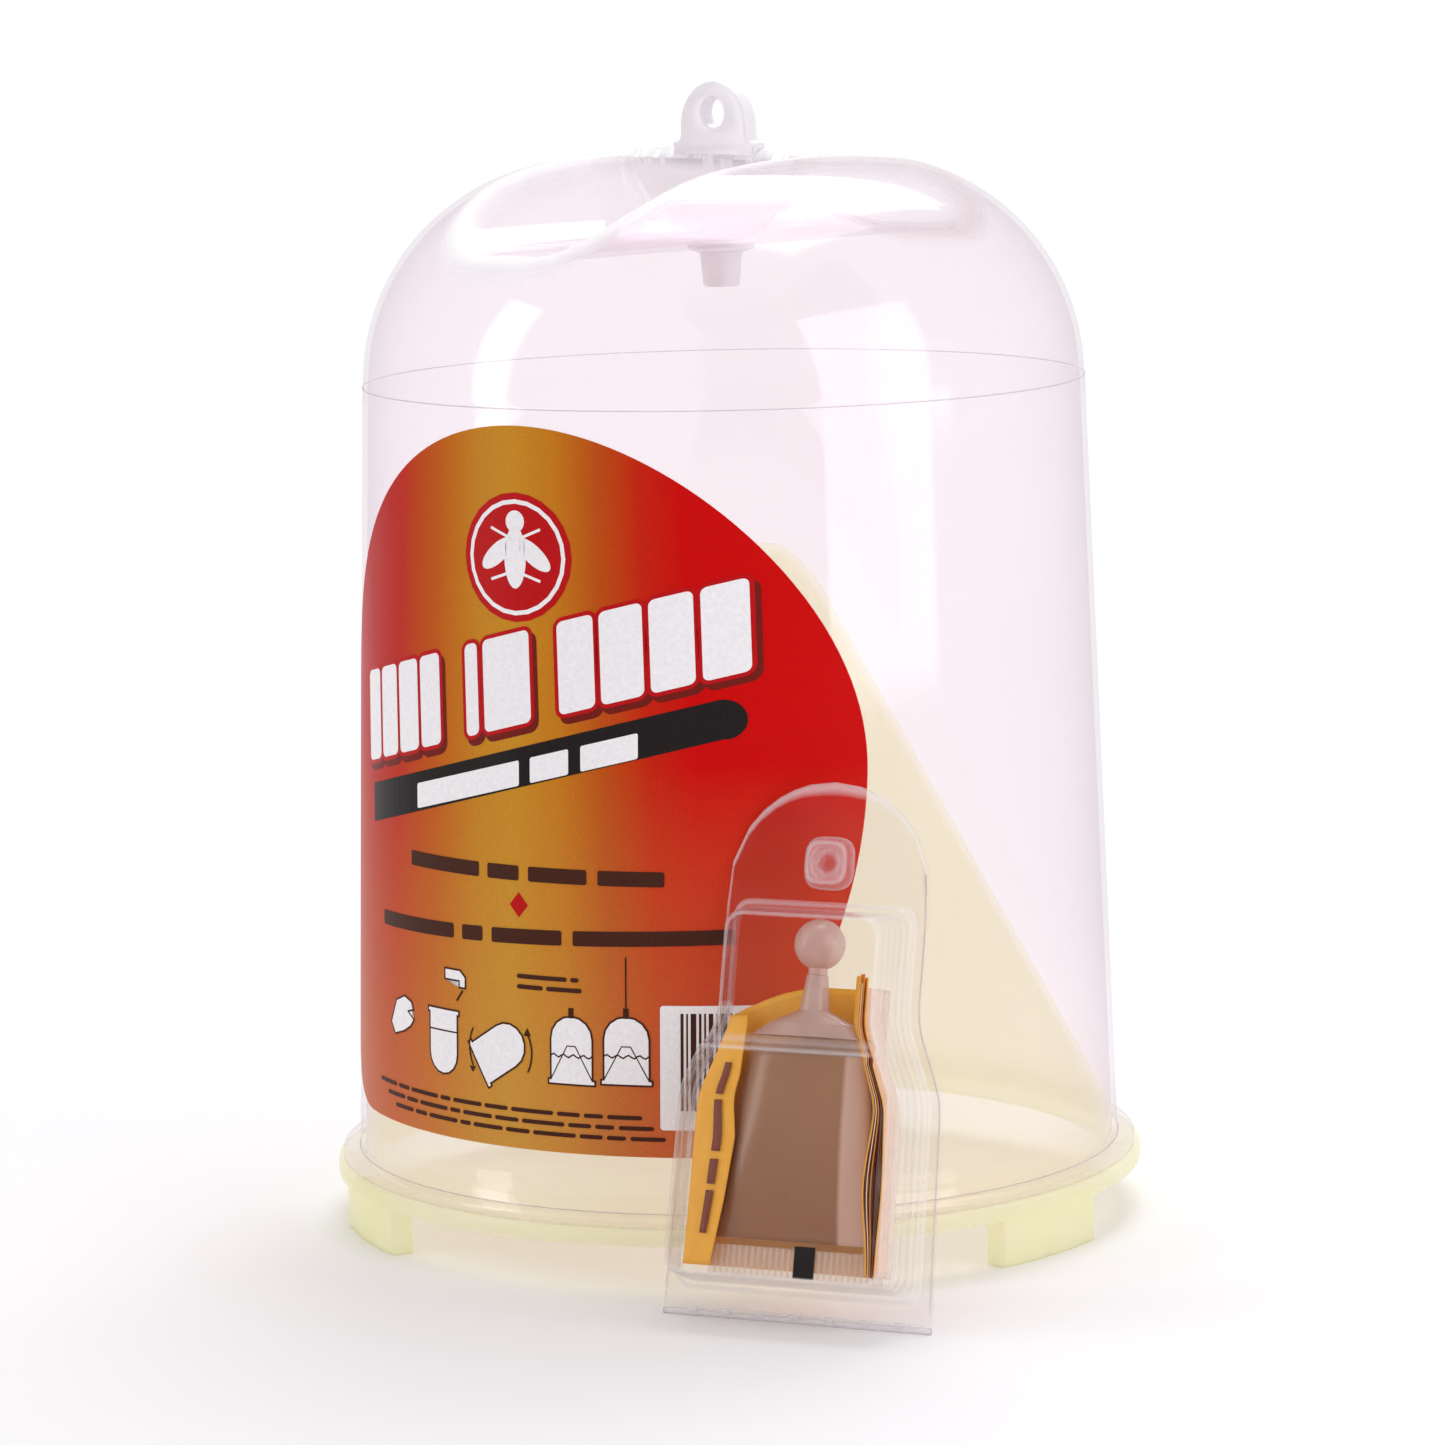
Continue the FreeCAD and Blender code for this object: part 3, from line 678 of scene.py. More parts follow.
def turned_piece(name, profile, material, steps, sharp=40.0):
    """A closed piece turned about Z from (radius, height) points in millimetres."""
    middle = sum(radius for radius, _ in profile) / len(profile)
    start = bpy.data.meshes.new(name + "_profile")
    start.from_pydata(
        [((radius - middle) * MM, -height * MM, 0) for radius, height in profile],
        [(i, (i + 1) % len(profile)) for i in range(len(profile))],
        [],
    )
    inputs = {"Turning Radius": middle * MM, "Steps Round": steps}
    ob = made_by(turning_tree(material), name, start, inputs)
    face_outwards(ob)
    ob.data.shade_smooth()
    ob.data.set_sharp_from_angle(angle=math.radians(sharp))
    return ob


stem_root = scoop_floor - BELL_WALL
stem_profile = [(0.0, stem_root + 0.5), (6.3, stem_root + 0.5), (6.2, stem_root - 0.9)]
stem_profile += [(4.1, stem_root - 1.5), (3.9, stem_root - 2.2), (3.45, stem_root - 7.3)]
stem_profile += [(3.1, stem_root - 7.8), (0.0, stem_root - 7.8)]
stem = turned_piece("filling_stem", stem_profile, lug_finish, 48)
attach(stem, "trap")

# Two hair-thin witness lines run round the bell, one where the dome starts and one where
# the body meets its flange.
line_finish, _, _ = clear_plastic(
    "witness_line_plastic",
    (0.90, 0.87, 0.90, 1),
    (0.78, 0.74, 0.78, 1),
    (0.62, 0.58, 0.62, 1),
    0.2,
    0.25,
    0.3,
)
for name, radius, height, size in (
    ("dome_witness_line", BODY_TOP_RADIUS - 0.02, SEAM_HEIGHT - 0.1, 0.11),
    ("flange_witness_line", BODY_FOOT_RADIUS + 0.12, FLANGE_HIGH + 0.15, 0.12),
):
    section = [
        (radius + size * math.cos(a), height + size * math.sin(a))
        for a in full_turn(8)
    ]
    line = turned_piece(name, section, line_finish, 192)
    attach(line, "trap")

# ---------------------------------------------------------------- funnel base
# One moulding in translucent pale yellow-green polypropylene: a flat ring, a spigot that
# snaps into the bell, an entry cone with a hole at its tip, and three hollow feet.

RING_RADIUS = 76.2
RING_LOW, RING_HIGH = 9.0, 12.0
SPIGOT_RADIUS = 70.8
SPIGOT_TOP = 18.2
BASE_WALL = 1.2
CONE_TOP = 126.0
ENTRY_RADIUS = 9.0
CONE_SLOPE = math.radians(62.0)
FOOT_RADIUS = 75.0
FOOT_DEPTH = 4.4
FOOT_WALL = 1.3
FOOT_OVERLAP = 0.3
FOOT_BEVEL = 0.3
FOOT_HALF_ANGLE = math.radians(10.7)
FIRST_FOOT = math.radians(50.0)

base_finish, tree = blank_finish("pale_yellow_polypropylene")
base_cloud = noise(tree, 28.0, 4.0, Roughness=0.6)
base_colour = two_tones(tree, (0.94, 0.935, 0.74), (0.99, 0.985, 0.82), 0.25, 0.75)
base_body = add_node(
    tree,
    "ShaderNodeBsdfPrincipled",
    {"Roughness": 0.32, "Subsurface Weight": 0.0, "Specular IOR Level": 0.4},
)
base_through = add_node(tree, "ShaderNodeBsdfTranslucent")
base_clear = add_node(tree, "ShaderNodeBsdfTransparent", {"Color": (0.985, 0.985, 0.93, 1)})
base_grain = noise(tree, 900.0, 2.0)
base_bump = add_node(tree, "ShaderNodeBump", {"Strength": 0.08, "Distance": 0.0002})
lit_through = add_node(tree, "ShaderNodeMixShader", {0: 0.6})
thin = add_node(tree, "ShaderNodeMixShader")
cone_or_ring = rescale(tree, (0.013, 0.022), (0.62, 0.27))
base_place = add_node(tree, "ShaderNodeTexCoord")
split = add_node(tree, "ShaderNodeSeparateXYZ")
base_out = add_node(tree, "ShaderNodeOutputMaterial")
wire(
    tree,
    (base_place, "Object", split, 0),
    (base_cloud, "Fac", base_colour, "Fac"),
    (base_colour, "Color", base_body, "Base Color"),
    (base_colour, "Color", base_through, "Color"),
    (base_grain, "Fac", base_bump, "Height"),
    (base_bump, "Normal", base_body, "Normal"),
    (base_body, 0, lit_through, 1),
    (base_through, 0, lit_through, 2),
    (split, "Z", cone_or_ring, "Value"),
    (cone_or_ring, "Result", thin, 0),
    (base_clear, 0, thin, 1),
    (lit_through, 0, thin, 2),
    (thin, 0, base_out, 0),
)


def cone_radius(height):
    """Outer radius of the entry cone's straight side."""
    return SPIGOT_RADIUS - (height - SPIGOT_TOP) / math.tan(CONE_SLOPE)


skin_step = BASE_WALL / math.sin(CONE_SLOPE)
ring_rim = [(75.8, RING_HIGH), (76.1, 11.8), (RING_RADIUS, 11.4), (RING_RADIUS, 9.6)]
ring_rim += [(76.1, 9.2), (75.8, RING_LOW), (69.6, RING_LOW), (69.6, SPIGOT_TOP - 0.6)]
entry_lip = [(15.4, 119.3), (12.8, 122.4), (10.9, 124.2), (ENTRY_RADIUS, CONE_TOP - BASE_WALL)]
entry_lip += [(ENTRY_RADIUS, CONE_TOP - 0.2), (9.2, CONE_TOP), (10.1, CONE_TOP)]
entry_lip += [(11.4, 125.5), (13.8, 123.3), (16.4, 120.3)]
snap_bead = [(70.7, 18.6), (SPIGOT_RADIUS, 17.8), (SPIGOT_RADIUS, 16.6), (71.12, 16.0)]
base_profile = [(SPIGOT_RADIUS, RING_HIGH), *ring_rim]
base_profile += [(cone_radius(z) - skin_step, z) for z in np.linspace(18.9, 116.0, 24)]
base_profile += entry_lip
base_profile += [(cone_radius(z), z) for z in np.linspace(117.0, 19.2, 24)]
base_profile += [*snap_bead, (SPIGOT_RADIUS, 15.4)]
base = turned_piece("funnel_base_moulding", base_profile, base_finish, 192)
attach(base, "trap")
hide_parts("funnel_base")


def foot_mesh():
    """One hollow foot: a curved front, two ends and a middle rib, open inwards and below."""
    wall = FOOT_WALL / FOOT_RADIUS
    inner, back = FOOT_RADIUS - FOOT_DEPTH, FOOT_RADIUS - FOOT_WALL
    plan = [(a, FOOT_RADIUS) for a in np.linspace(-FOOT_HALF_ANGLE, FOOT_HALF_ANGLE, 25)]
    plan += [(FOOT_HALF_ANGLE, inner), (FOOT_HALF_ANGLE - wall, inner)]
    plan += [(a, back) for a in np.linspace(FOOT_HALF_ANGLE - wall, wall / 2, 10)]
    plan += [(wall / 2, inner), (-wall / 2, inner)]
    plan += [(a, back) for a in np.linspace(-wall / 2, wall - FOOT_HALF_ANGLE, 10)]
    plan += [(wall - FOOT_HALF_ANGLE, inner), (-FOOT_HALF_ANGLE, inner)]
    work = bmesh.new()
    low = [
        work.verts.new((r * math.sin(a) * MM, -r * math.cos(a) * MM, 0.0)) for a, r in plan
    ]
    cap = work.faces.new(low)
    raised = bmesh.ops.extrude_face_region(work, geom=[cap])
    for item in raised["geom"]:
        if isinstance(item, bmesh.types.BMVert):
            item.co.z += (RING_LOW + FOOT_OVERLAP) * MM
    bmesh.ops.recalc_face_normals(work, faces=work.faces)
    uprights = [e for e in work.edges if abs(e.verts[0].co.z - e.verts[1].co.z) > 0.001]
    corners = [e for e in uprights if e.calc_face_angle(0) > 0.8]
    rims = [e for e in work.edges if max(v.co.z for v in e.verts) < 0.0001]
    bmesh.ops.bevel(
        work, geom=corners + rims, offset=FOOT_BEVEL * MM, segments=2, affect="EDGES", profile=0.5
    )
    bmesh.ops.triangulate(work, faces=[f for f in work.faces if len(f.verts) > 4])
    mesh = bpy.data.meshes.new("foot")
    work.to_mesh(mesh)
    work.free()
    return mesh


# Three feet stand at equal turns round the ring.
feet_tree, given = blank_group(
    "repeat_round_axis", ("Foot", "Geometry"), ("Count", "Int"), ("First Turn", "Float")
)
spots = add_node(feet_tree, "GeometryNodeMeshLine", {"Offset": (0, 0, 0)})
which = add_node(feet_tree, "GeometryNodeInputIndex")
share = add_node(feet_tree, "ShaderNodeMath", operation="DIVIDE")
turn = add_node(feet_tree, "ShaderNodeMath", {1: 2 * math.pi}, operation="MULTIPLY_ADD")
spin = add_node(feet_tree, "ShaderNodeCombineXYZ")
copies = add_node(feet_tree, "GeometryNodeInstanceOnPoints")
wire(
    feet_tree,
    (given, "Count", spots, "Count"),
    (which, 0, share, 0),
    (given, "Count", share, 1),
    (share, 0, turn, 0),
    (given, "First Turn", turn, 2),
    (turn, 0, spin, "Z"),
    (spots, "Mesh", copies, "Points"),
    (given, "Foot", copies, "Instance"),
    (spin, 0, copies, "Rotation"),
)
close_group(feet_tree, copies, "Instances", base_finish)
feet = made_by(feet_tree, "three_feet", foot_mesh(), {"Count": 3, "First Turn": FIRST_FOOT})
feet.data.shade_smooth()
feet.data.set_sharp_from_angle(angle=math.radians(35))
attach(feet, "trap")

# ---------------------------------------------------------------- label
# A glossy printed film stuck on the bell's left front. Its ground fades from red through
# orange to a gold band up its middle, with the fine grain of a printed screen.

LABEL_TURN = math.radians(33.5)

label_finish, tree = blank_finish("printed_film")
film_place = add_node(tree, "ShaderNodeTexCoord")
square_on = add_node(tree, "ShaderNodeMapping", {"Rotation": (0, 0, LABEL_TURN)})
film_axes = add_node(tree, "ShaderNodeSeparateXYZ")
band_width = rescale(tree, (0.04, 0.145), (0.136, 0.118))
across_band = add_node(tree, "ShaderNodeMath", operation="DIVIDE")
centred = add_node(tree, "ShaderNodeMath", {1: 0.5}, operation="ADD")
ground = add_node(tree, "ShaderNodeValToRGB")
ground_stops = (
    (0.16, (0.47, 0.008, 0.007)),
    (0.25, (0.50, 0.018, 0.006)),
    (0.34, (0.53, 0.10, 0.007)),
    (0.43, (0.56, 0.225, 0.014)),
    (0.49, (0.58, 0.26, 0.018)),
    (0.57, (0.56, 0.19, 0.012)),
    (0.635, (0.505, 0.082, 0.008)),
    (0.70, (0.56, 0.018, 0.005)),
    (0.76, (0.60, 0.003, 0.003)),
)
ramp = ground.color_ramp.elements
while len(ramp) < len(ground_stops):
    ramp.new(0.5)
for stop, (position, colour) in zip(ramp, ground_stops):
    stop.position = position
    stop.color = (*colour, 1)
foot_glow = rescale(tree, (0.095, 0.025), (0.0, 0.34))
lighter = add_node(tree, "ShaderNodeMix", data_type="RGBA")
lighter.inputs[7].default_value = (0.66, 0.36, 0.11, 1)
screen = noise(tree, 2600.0, 1.0)
screen_tone = rescale(tree, result=(0.86, 1.14))
printed = add_node(tree, "ShaderNodeVectorMath", operation="SCALE")
film = add_node(
    tree,
    "ShaderNodeBsdfPrincipled",
    {"Roughness": 0.34, "Coat Weight": 0.0, "Coat Roughness": 0.12, "Specular IOR Level": 0.05},
)
film_wave = noise(tree, 60.0, 2.0)
film_bump = add_node(tree, "ShaderNodeBump", {"Strength": 0.12, "Distance": 0.0006})
film_out = add_node(tree, "ShaderNodeOutputMaterial")
wire(
    tree,
    (film_place, "Object", square_on, "Vector"),
    (square_on, 0, film_axes, 0),
    (film_axes, "Z", band_width, "Value"),
    (film_axes, "X", across_band, 0),
    (band_width, "Result", across_band, 1),
    (across_band, 0, centred, 0),
    (centred, 0, ground, "Fac"),
    (film_axes, "Z", foot_glow, "Value"),
    (foot_glow, "Result", lighter, 0),
    (ground, "Color", lighter, 6),
    (screen, "Fac", screen_tone, "Value"),
    (lighter, 2, printed, 0),
    (screen_tone, "Result", printed, "Scale"),
    (printed, 0, film, "Base Color"),
    (film_wave, "Fac", film_bump, "Height"),
    (film_bump, "Normal", film, "Normal"),
    (film, 0, film_out, 0),
)


def repaint(name, finish):
    """Gives a CAD piece its finish."""
    node = frame["nodes"][name]
    node.data.materials.clear()
    node.data.materials.append(finish)


repaint("label", label_finish)

# The art on the film is flat ink: plain shapes in place of a title, a mark and small
# print, with simple pictures of how such a trap is filled and hung.


def mottled(name, colour, roughness, grain, darker, lighter, lift=0.0):
    """A finish whose colour varies a little by noise, given as grain (scale, detail).

    Returns the material, its node tree, its shader and its noise.
    """
    material = bpy.data.materials.new(name)
    material.use_nodes = True
    tree = material.node_tree
    shader = tree.nodes["Principled BSDF"]
    shader.inputs["Roughness"].default_value = roughness
    mottle = noise(tree, *grain)
    tone = add_node(tree, "ShaderNodeMix", data_type="RGBA")
    tone.inputs[6].default_value = (*[c * darker for c in colour], 1)
    tone.inputs[7].default_value = (*[min(1.0, c * lighter + lift) for c in colour], 1)
    wire(tree, (mottle, "Fac", tone, 0), (tone, 2, shader, "Base Color"))
    return material, tree, shader, mottle


def ink(name, colour, roughness):
    """Printed ink with a faint mottle."""
    material, _, shader, _ = mottled(name, colour, roughness, (1400.0, 2.0), 0.88, 1.1, 0.004)
    shader.inputs["Specular IOR Level"].default_value = 0.05
    return material


def block(x0, x1, low, high, rise=0.0, corner=0.6, lean=0.0):
    """A rounded slanted block: rise is its slope and lean pushes its top to the right."""
    corner = min(corner, (x1 - x0) / 2.01, (high - low) / 2.01)
    points = []
    for cx, cz, start in (
        (x1 - corner, low + corner, -90),
        (x1 - corner, high - corner, 0),
        (x0 + corner, high - corner, 90),
        (x0 + corner, low + corner, 180),
    ):
        for step in range(5):
            a = math.radians(start + 22.5 * step)
            x, z = cx + corner * math.cos(a), cz + corner * math.sin(a)
            points.append((x + lean * (z - low), z + rise * (x - x0)))
    return points


def disc(x, z, radius, squash=1.0, turn=0.0):
    """A round or oval spot."""
    c, s = math.cos(turn), math.sin(turn)
    oval = [(radius * math.cos(a), radius * squash * math.sin(a)) for a in full_turn(24)]
    return [(x + px * c - pz * s, z + px * s + pz * c) for px, pz in oval]


def strokes(points, width):
    """A drawn line: one thin block for each run between points."""
    made = []
    for (x0, z0), (x1, z1) in zip(points, points[1:]):
        length = math.hypot(x1 - x0, z1 - z0)
        if length < 0.01:
            continue
        nx, nz = -(z1 - z0) / length * width / 2, (x1 - x0) / length * width / 2
        ex, ez = (x1 - x0) / length * width / 3, (z1 - z0) / length * width / 3
        made.append(
            [
                (x0 - nx - ex, z0 - nz - ez),
                (x1 - nx + ex, z1 - nz + ez),
                (x1 + nx + ex, z1 + nz + ez),
                (x0 + nx - ex, z0 + nz - ez),
            ]
        )
    return made


WORD_GAP, WORD_CORNER = 0.9, 0.4


def words(x0, x1, low, height, lengths, rise=0.0):
    """A line of print as plain blocks, one for each word."""
    total = sum(lengths) + WORD_GAP * (len(lengths) - 1)
    unit = (x1 - x0) / total
    made, at = [], x0
    for length in lengths:
        lift = rise * (at - x0)
        end = at + length * unit
        made.append(block(at, end, low + lift, low + height + lift, rise, WORD_CORNER))
        at += (length + WORD_GAP) * unit
    return made


FILM_OUTSIDE = 0.15
LABEL_HALF = 52.0
WRAP_STEP = 2.0


def printed_layer(name, shapes, material, lift):
    """Flat shapes in label millimetres, wrapped round the bell just above the film."""
    work = bmesh.new()
    for shape in shapes:
        work.faces.new([work.verts.new((x, 0.0, z)) for x, z in shape])
    bmesh.ops.triangulate(work, faces=work.faces)
    for cut in np.arange(-LABEL_HALF, LABEL_HALF, WRAP_STEP):
        everything = list(work.verts) + list(work.edges) + list(work.faces)
        bmesh.ops.bisect_plane(work, geom=everything, plane_co=(cut, 0, 0), plane_no=(1, 0, 0))
    for spot in work.verts:
        x, z = spot.co.x, spot.co.z
        share = (z - FLANGE_HIGH) / (SEAM_HEIGHT - FLANGE_HIGH)
        radius = BODY_FOOT_RADIUS + (BODY_TOP_RADIUS - BODY_FOOT_RADIUS) * share
        radius = radius + FILM_OUTSIDE + lift
        turn = math.asin(x / radius) - LABEL_TURN
        spot.co = (radius * math.sin(turn) * MM, -radius * math.cos(turn) * MM, z * MM)
    bmesh.ops.recalc_face_normals(work, faces=work.faces)
    mesh = bpy.data.meshes.new(name)
    work.to_mesh(mesh)
    work.free()
    for polygon in mesh.polygons:
        if polygon.normal.dot(Vector((*polygon.center[:2], 0))) < 0:
            polygon.flip()
    mesh.materials.append(material)
    ob = placed(name, mesh)
    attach(ob, "trap")
    return ob


TITLE_RISE = 0.254
LETTER_GAP = 0.16


def title_blocks(x0, x1, low, high, widths, grow=0.0):
    """Upright blocks in a row, sloping up to the right, each grown by an outline."""
    unit = (x1 - x0) / (sum(widths) + LETTER_GAP * (len(widths) - 1))
    made, at = [], x0
    for width in widths:
        foot = low + TITLE_RISE * (at - x0)
        made.append(
            block(
                at - grow,
                at + width * unit + grow,
                foot - grow * (1 + TITLE_RISE),
                foot + high - low + grow * (1 - TITLE_RISE),
                TITLE_RISE,
                1.1 + grow,
                -0.03,
            )
        )
        at += (width + LETTER_GAP) * unit
    return made


TITLE_ROWS = (
    (-44.4, -18.5, 90.0, 106.6, (1, 1.1, 1.15, 1.05)),
    (-11.6, 3.2, 98.4, 115.0, (0.35, 1.2)),
    (9.0, 41.5, 103.6, 120.2, (1, 1.1, 1.05, 1.05)),
)
title = [shape for row in TITLE_ROWS for shape in title_blocks(*row)]
title_edge = [shape for row in TITLE_ROWS for shape in title_blocks(*row, 0.75)]
title_shade = [[(x + 0.9, z - 1.0) for x, z in shape] for shape in title_edge]
bar = [(-42.6, 79.0), (37.3, 99.7)]
bar += [
    (37.3 + 3.6 * math.cos(a), 103.2 + 3.6 * math.sin(a))
    for a in np.linspace(math.radians(-75), math.radians(105), 12)
]
bar += [(36.2, 106.6), (-42.6, 86.2)]


def bell_picture(x, low, width, height):
    """Outline of a small standing trap: flange, sides and round top."""
    half = width / 2
    points = [(x - half * 1.12, low), (x - half * 1.12, low + 0.9), (x - half, low + 0.9)]
    points += [
        (x + half * math.cos(a), low + height - half + half * math.sin(a))
        for a in np.linspace(math.pi, 0, 9)
    ]
    points += [(x + half, low + 0.9), (x + half * 1.12, low + 0.9), (x + half * 1.12, low)]
    return points + [points[0]]


def tipped(points, x, z, angle):
    """Points turned about a spot on the label."""
    c, s = math.cos(angle), math.sin(angle)
    return [(x + (a - x) * c - (b - z) * s, z + (a - x) * s + (b - z) * c) for a, b in points]


filling = tipped(bell_picture(-18.6, 36.0, 7.6, 12.0), -18.6, 42.0, math.pi)
tilted = tipped(bell_picture(-4.4, 36.0, 8.4, 12.0), -4.4, 42.0, math.radians(-58))
standing = bell_picture(10.9, 37.0, 8.2, 12.4)
hanging = bell_picture(21.2, 37.4, 8.2, 12.4)
tap = [(-18.0, 55.6), (-14.0, 55.6), (-12.6, 54.4), (-12.6, 52.4), (-14.2, 52.4)]
tap += [(-14.2, 53.6), (-18.0, 53.6), (-18.0, 55.6)]
glove = [(-35.5, 43.0), (-33.5, 47.4), (-30.6, 48.6), (-28.2, 47.8), (-27.6, 46.4)]
glove += [(-29.4, 45.9), (-27.4, 44.6), (-28.6, 43.2), (-30.8, 42.0), (-34.0, 41.0)]
picture_fill = [filling[:-1], tilted[:-1], standing[:-1], hanging[:-1], tap[:-1], glove]
picture_lines = []
for outline_points in (filling, tilted, standing, hanging, tap, glove + glove[:1]):
    picture_lines += strokes(outline_points, 0.34)
for x, low in ((10.9, 37.0), (21.2, 37.4)):
    wave = [(x - 4.0 + k * 0.5, low + 5.2 + 0.3 * math.sin(k * 1.6)) for k in range(17)]
    picture_lines += strokes(wave, 0.28)
    cone = [(x - 4.0, low + 1.0), (x - 0.8, low + 7.0), (x + 0.8, low + 7.0), (x + 4.0, low + 1.0)]
    picture_lines += strokes(cone, 0.22)
    picture_lines += strokes([(x, low + 12.4), (x, low + 13.6)], 1.0)
picture_lines += strokes([(21.2, 51.0), (21.2, 60.5)], 0.26)
picture_lines += strokes([(-22.2, 44.0), (-15.0, 44.0)], 0.3)
picture_lines += strokes([(-13.4, 51.8), (-14.8, 50.0)], 0.4)
for sign in (1, -1):
    swing = [
        (-4.4 + sign * 7.2 * math.cos(a), 42.0 + sign * 7.2 * math.sin(a))
        for a in np.linspace(math.radians(-28), math.radians(28), 8)
    ]
    picture_lines += strokes(swing, 0.34)
    tip_x, tip_z = swing[-1]
    arrow = [(tip_x - 0.9, tip_z - 0.2), (tip_x + 0.7, tip_z - 0.2)]
    picture_lines.append(arrow + [(tip_x - 0.1, tip_z + sign * 1.3)])

mark = (0.0, 131.5)
insect = [disc(*mark, 5.6, 0.42, math.radians(90)), disc(mark[0], mark[1] + 6.4, 2.0)]
insect += [
    disc(mark[0] + side * 3.9, mark[1] + 0.6, 4.3, 0.4, math.radians(-side * 38))
    for side in (1, -1)
]
for side in (1, -1):
    for height in (-2.4, 0.4, 3.0):
        insect += strokes(
            [(mark[0], mark[1] + height), (mark[0] + side * 5.2, mark[1] + height * 1.7)], 0.5
        )
dark_words = words(-27.8, 27.9, 73.3, 2.7, (8, 3, 5, 5))
dark_words += words(-38.2, 39.0, 60.7, 2.7, (9, 2, 6, 11), 0.03)
dark_words += words(-0.3, 12.4, 55.6, 0.8, (13, 2)) + words(-0.3, 13.0, 53.7, 0.8, (7, 9))
small_print = (7, 4, 9, 3, 8, 6, 10, 5, 4, 7)
for line, low in enumerate((31.2, 29.3, 27.4)):
    dark_words += words(-40.0 + 3 * line, 24.0 + 2.0 * line, low, 0.75, small_print)
stripes, at = [], 30.5
for wide in (0.5, 0.3, 0.9, 0.4, 0.3, 0.7, 0.3, 1.0, 0.4, 0.6, 0.3, 0.8, 0.5, 0.3, 0.6):
    stripes.append(block(at, at + wide, 33.0, 50.6, 0.0, 0.05))
    at += wide + 0.42
shadow_ink = ink("dark_red_ink", (0.17, 0.012, 0.008), 0.3)
red_ink = ink("red_ink", (0.50, 0.006, 0.008), 0.3)
white_ink = ink("white_ink", (0.90, 0.87, 0.88), 0.35)
black_ink = ink("black_ink", (0.016, 0.012, 0.012), 0.28)
brown_ink = ink("brown_ink", (0.06, 0.018, 0.01), 0.32)
printed_layer("title_shadow", title_shade, shadow_ink, 0.02)
printed_layer("title_edge_and_mark", [*title_edge, disc(*mark, 11.6)], red_ink, 0.035)
printed_layer("dark_bar", [bar], black_ink, 0.05)
whites = [*title, *words(-25.7, 23.5, 83.9, 4.6, (10, 3, 4), TITLE_RISE * 0.99)]
whites += [block(27.1, 45.5, 29.5, 52.0, 0, 0.6)] + picture_fill
whites += [disc(*mark, 10.4)]
printed_layer("white_print", whites, white_ink, 0.065)
printed_layer("mark_ground", [disc(*mark, 9.6)], red_ink, 0.075)
printed_layer("mark_insect", insect, white_ink, 0.085)
red_spot = [(0.2, 66.6), (2.2, 68.9), (0.2, 71.2), (-1.8, 68.9)]
printed_layer("small_red_spot", [red_spot], red_ink, 0.03)
printed_layer("dark_print", dark_words + stripes + picture_lines, brown_ink, 0.08)

# ---------------------------------------------------------------- clamshell pack
# One thin clear sheet, formed and folded in half at its foot. The front half has the
# deep stepped pocket and the hollow snap button, and the back half is flat with the stud.

joints = {joint["name"]: joint for joint in frame["joints"]}
pack_foot = Vector(joints["pack_open"]["pos_m"])
pack_across = Vector(joints["pack_open"]["axis"]).normalized()
pack_up = Vector(joints["tip_twist"]["axis"]).normalized()
pack_out = pack_across.cross(pack_up)
pack_place = Matrix.Translation(pack_foot) @ Matrix(
    [[pack_across[i], pack_up[i], pack_out[i]] for i in range(3)]
).to_4x4()

FRONT_FACE = 0.55
FORMED_WALL, BUTTON_WALL = 0.42, 0.3
POCKET_FOOT, POCKET_TOP = 4.3, 73.1
POCKET_SIDE = ((4.3, 22.95), (39.9, 22.35), (52.8, 17.1), (73.1, 17.1))
CARD_FOOT, CARD_TOP = 0.75, 94.7
CARD_SIDE = ((0.75, 25.35), (39.9, 24.25), (52.8, 19.0), (94.7, 19.0))
ARCH_RADIUS = 19.0
RIM_HEIGHT = 1.9
RIM_INSET = 1.3
LOWER_DEPTH, UPPER_DEPTH = 13.55, 11.6
STEP_HEIGHT = 47.3
DRAFT = 0.09
PACK_COLUMNS = 24

sheet_finish, sheet_haze, _ = clear_plastic(
    "clear_thermoformed_sheet",
    (0.985, 0.982, 0.983, 1),
    (0.72, 0.69, 0.72, 1),
    (0.96, 0.95, 0.97, 1),
    0.05,
    0.0,
    0.7,
    0.002,
)
tree = sheet_finish.node_tree
scuffs = noise(tree, 120.0, 5.0, Roughness=0.7)
scuff_amount = rescale(tree, (0.45, 0.85), (0.0005, 0.006))
# Painted highlight: the sheet is made whiter along its bends and ridges, standing in for the light
# that its tight bends catch.
bend_highlights = add_node(tree, "ShaderNodeAttribute", attribute_name="bend_highlight")
painted_bend_white = add_node(tree, "ShaderNodeMath", {1: 0.26}, operation="MULTIPLY_ADD")
wire(
    tree,
    (scuffs, "Fac", scuff_amount, "Value"),
    (bend_highlights, "Fac", painted_bend_white, 0),
    (scuff_amount, "Result", painted_bend_white, 2),
)
tree.links.new(painted_bend_white.outputs[0], sheet_haze)

rows = [4.3, 4.45, 4.8, 5.4, 6.3, 7.5, 9.5, 13, 17, 21, 25, 29, 33, 36, 38, 39.5, 41, 43, 45]
rows += [46.1, 46.6, 47.0, 47.4, 47.8, 48.3, 49, 50.5, 52, 53.5, 55, 58, 62, 66, 69, 70.5]
rows += [71.6, 72.3, 72.8, 73.1]


def side_width(heights, side, blend):
    """Half width of the sheet's outline, with the waist and the neck softened."""
    spots, widths = zip(*side)
    total = np.zeros(len(heights))
    for shift in np.linspace(-blend, blend, 9):
        total += np.interp(np.asarray(heights) + shift, spots, widths)
    return total / 9


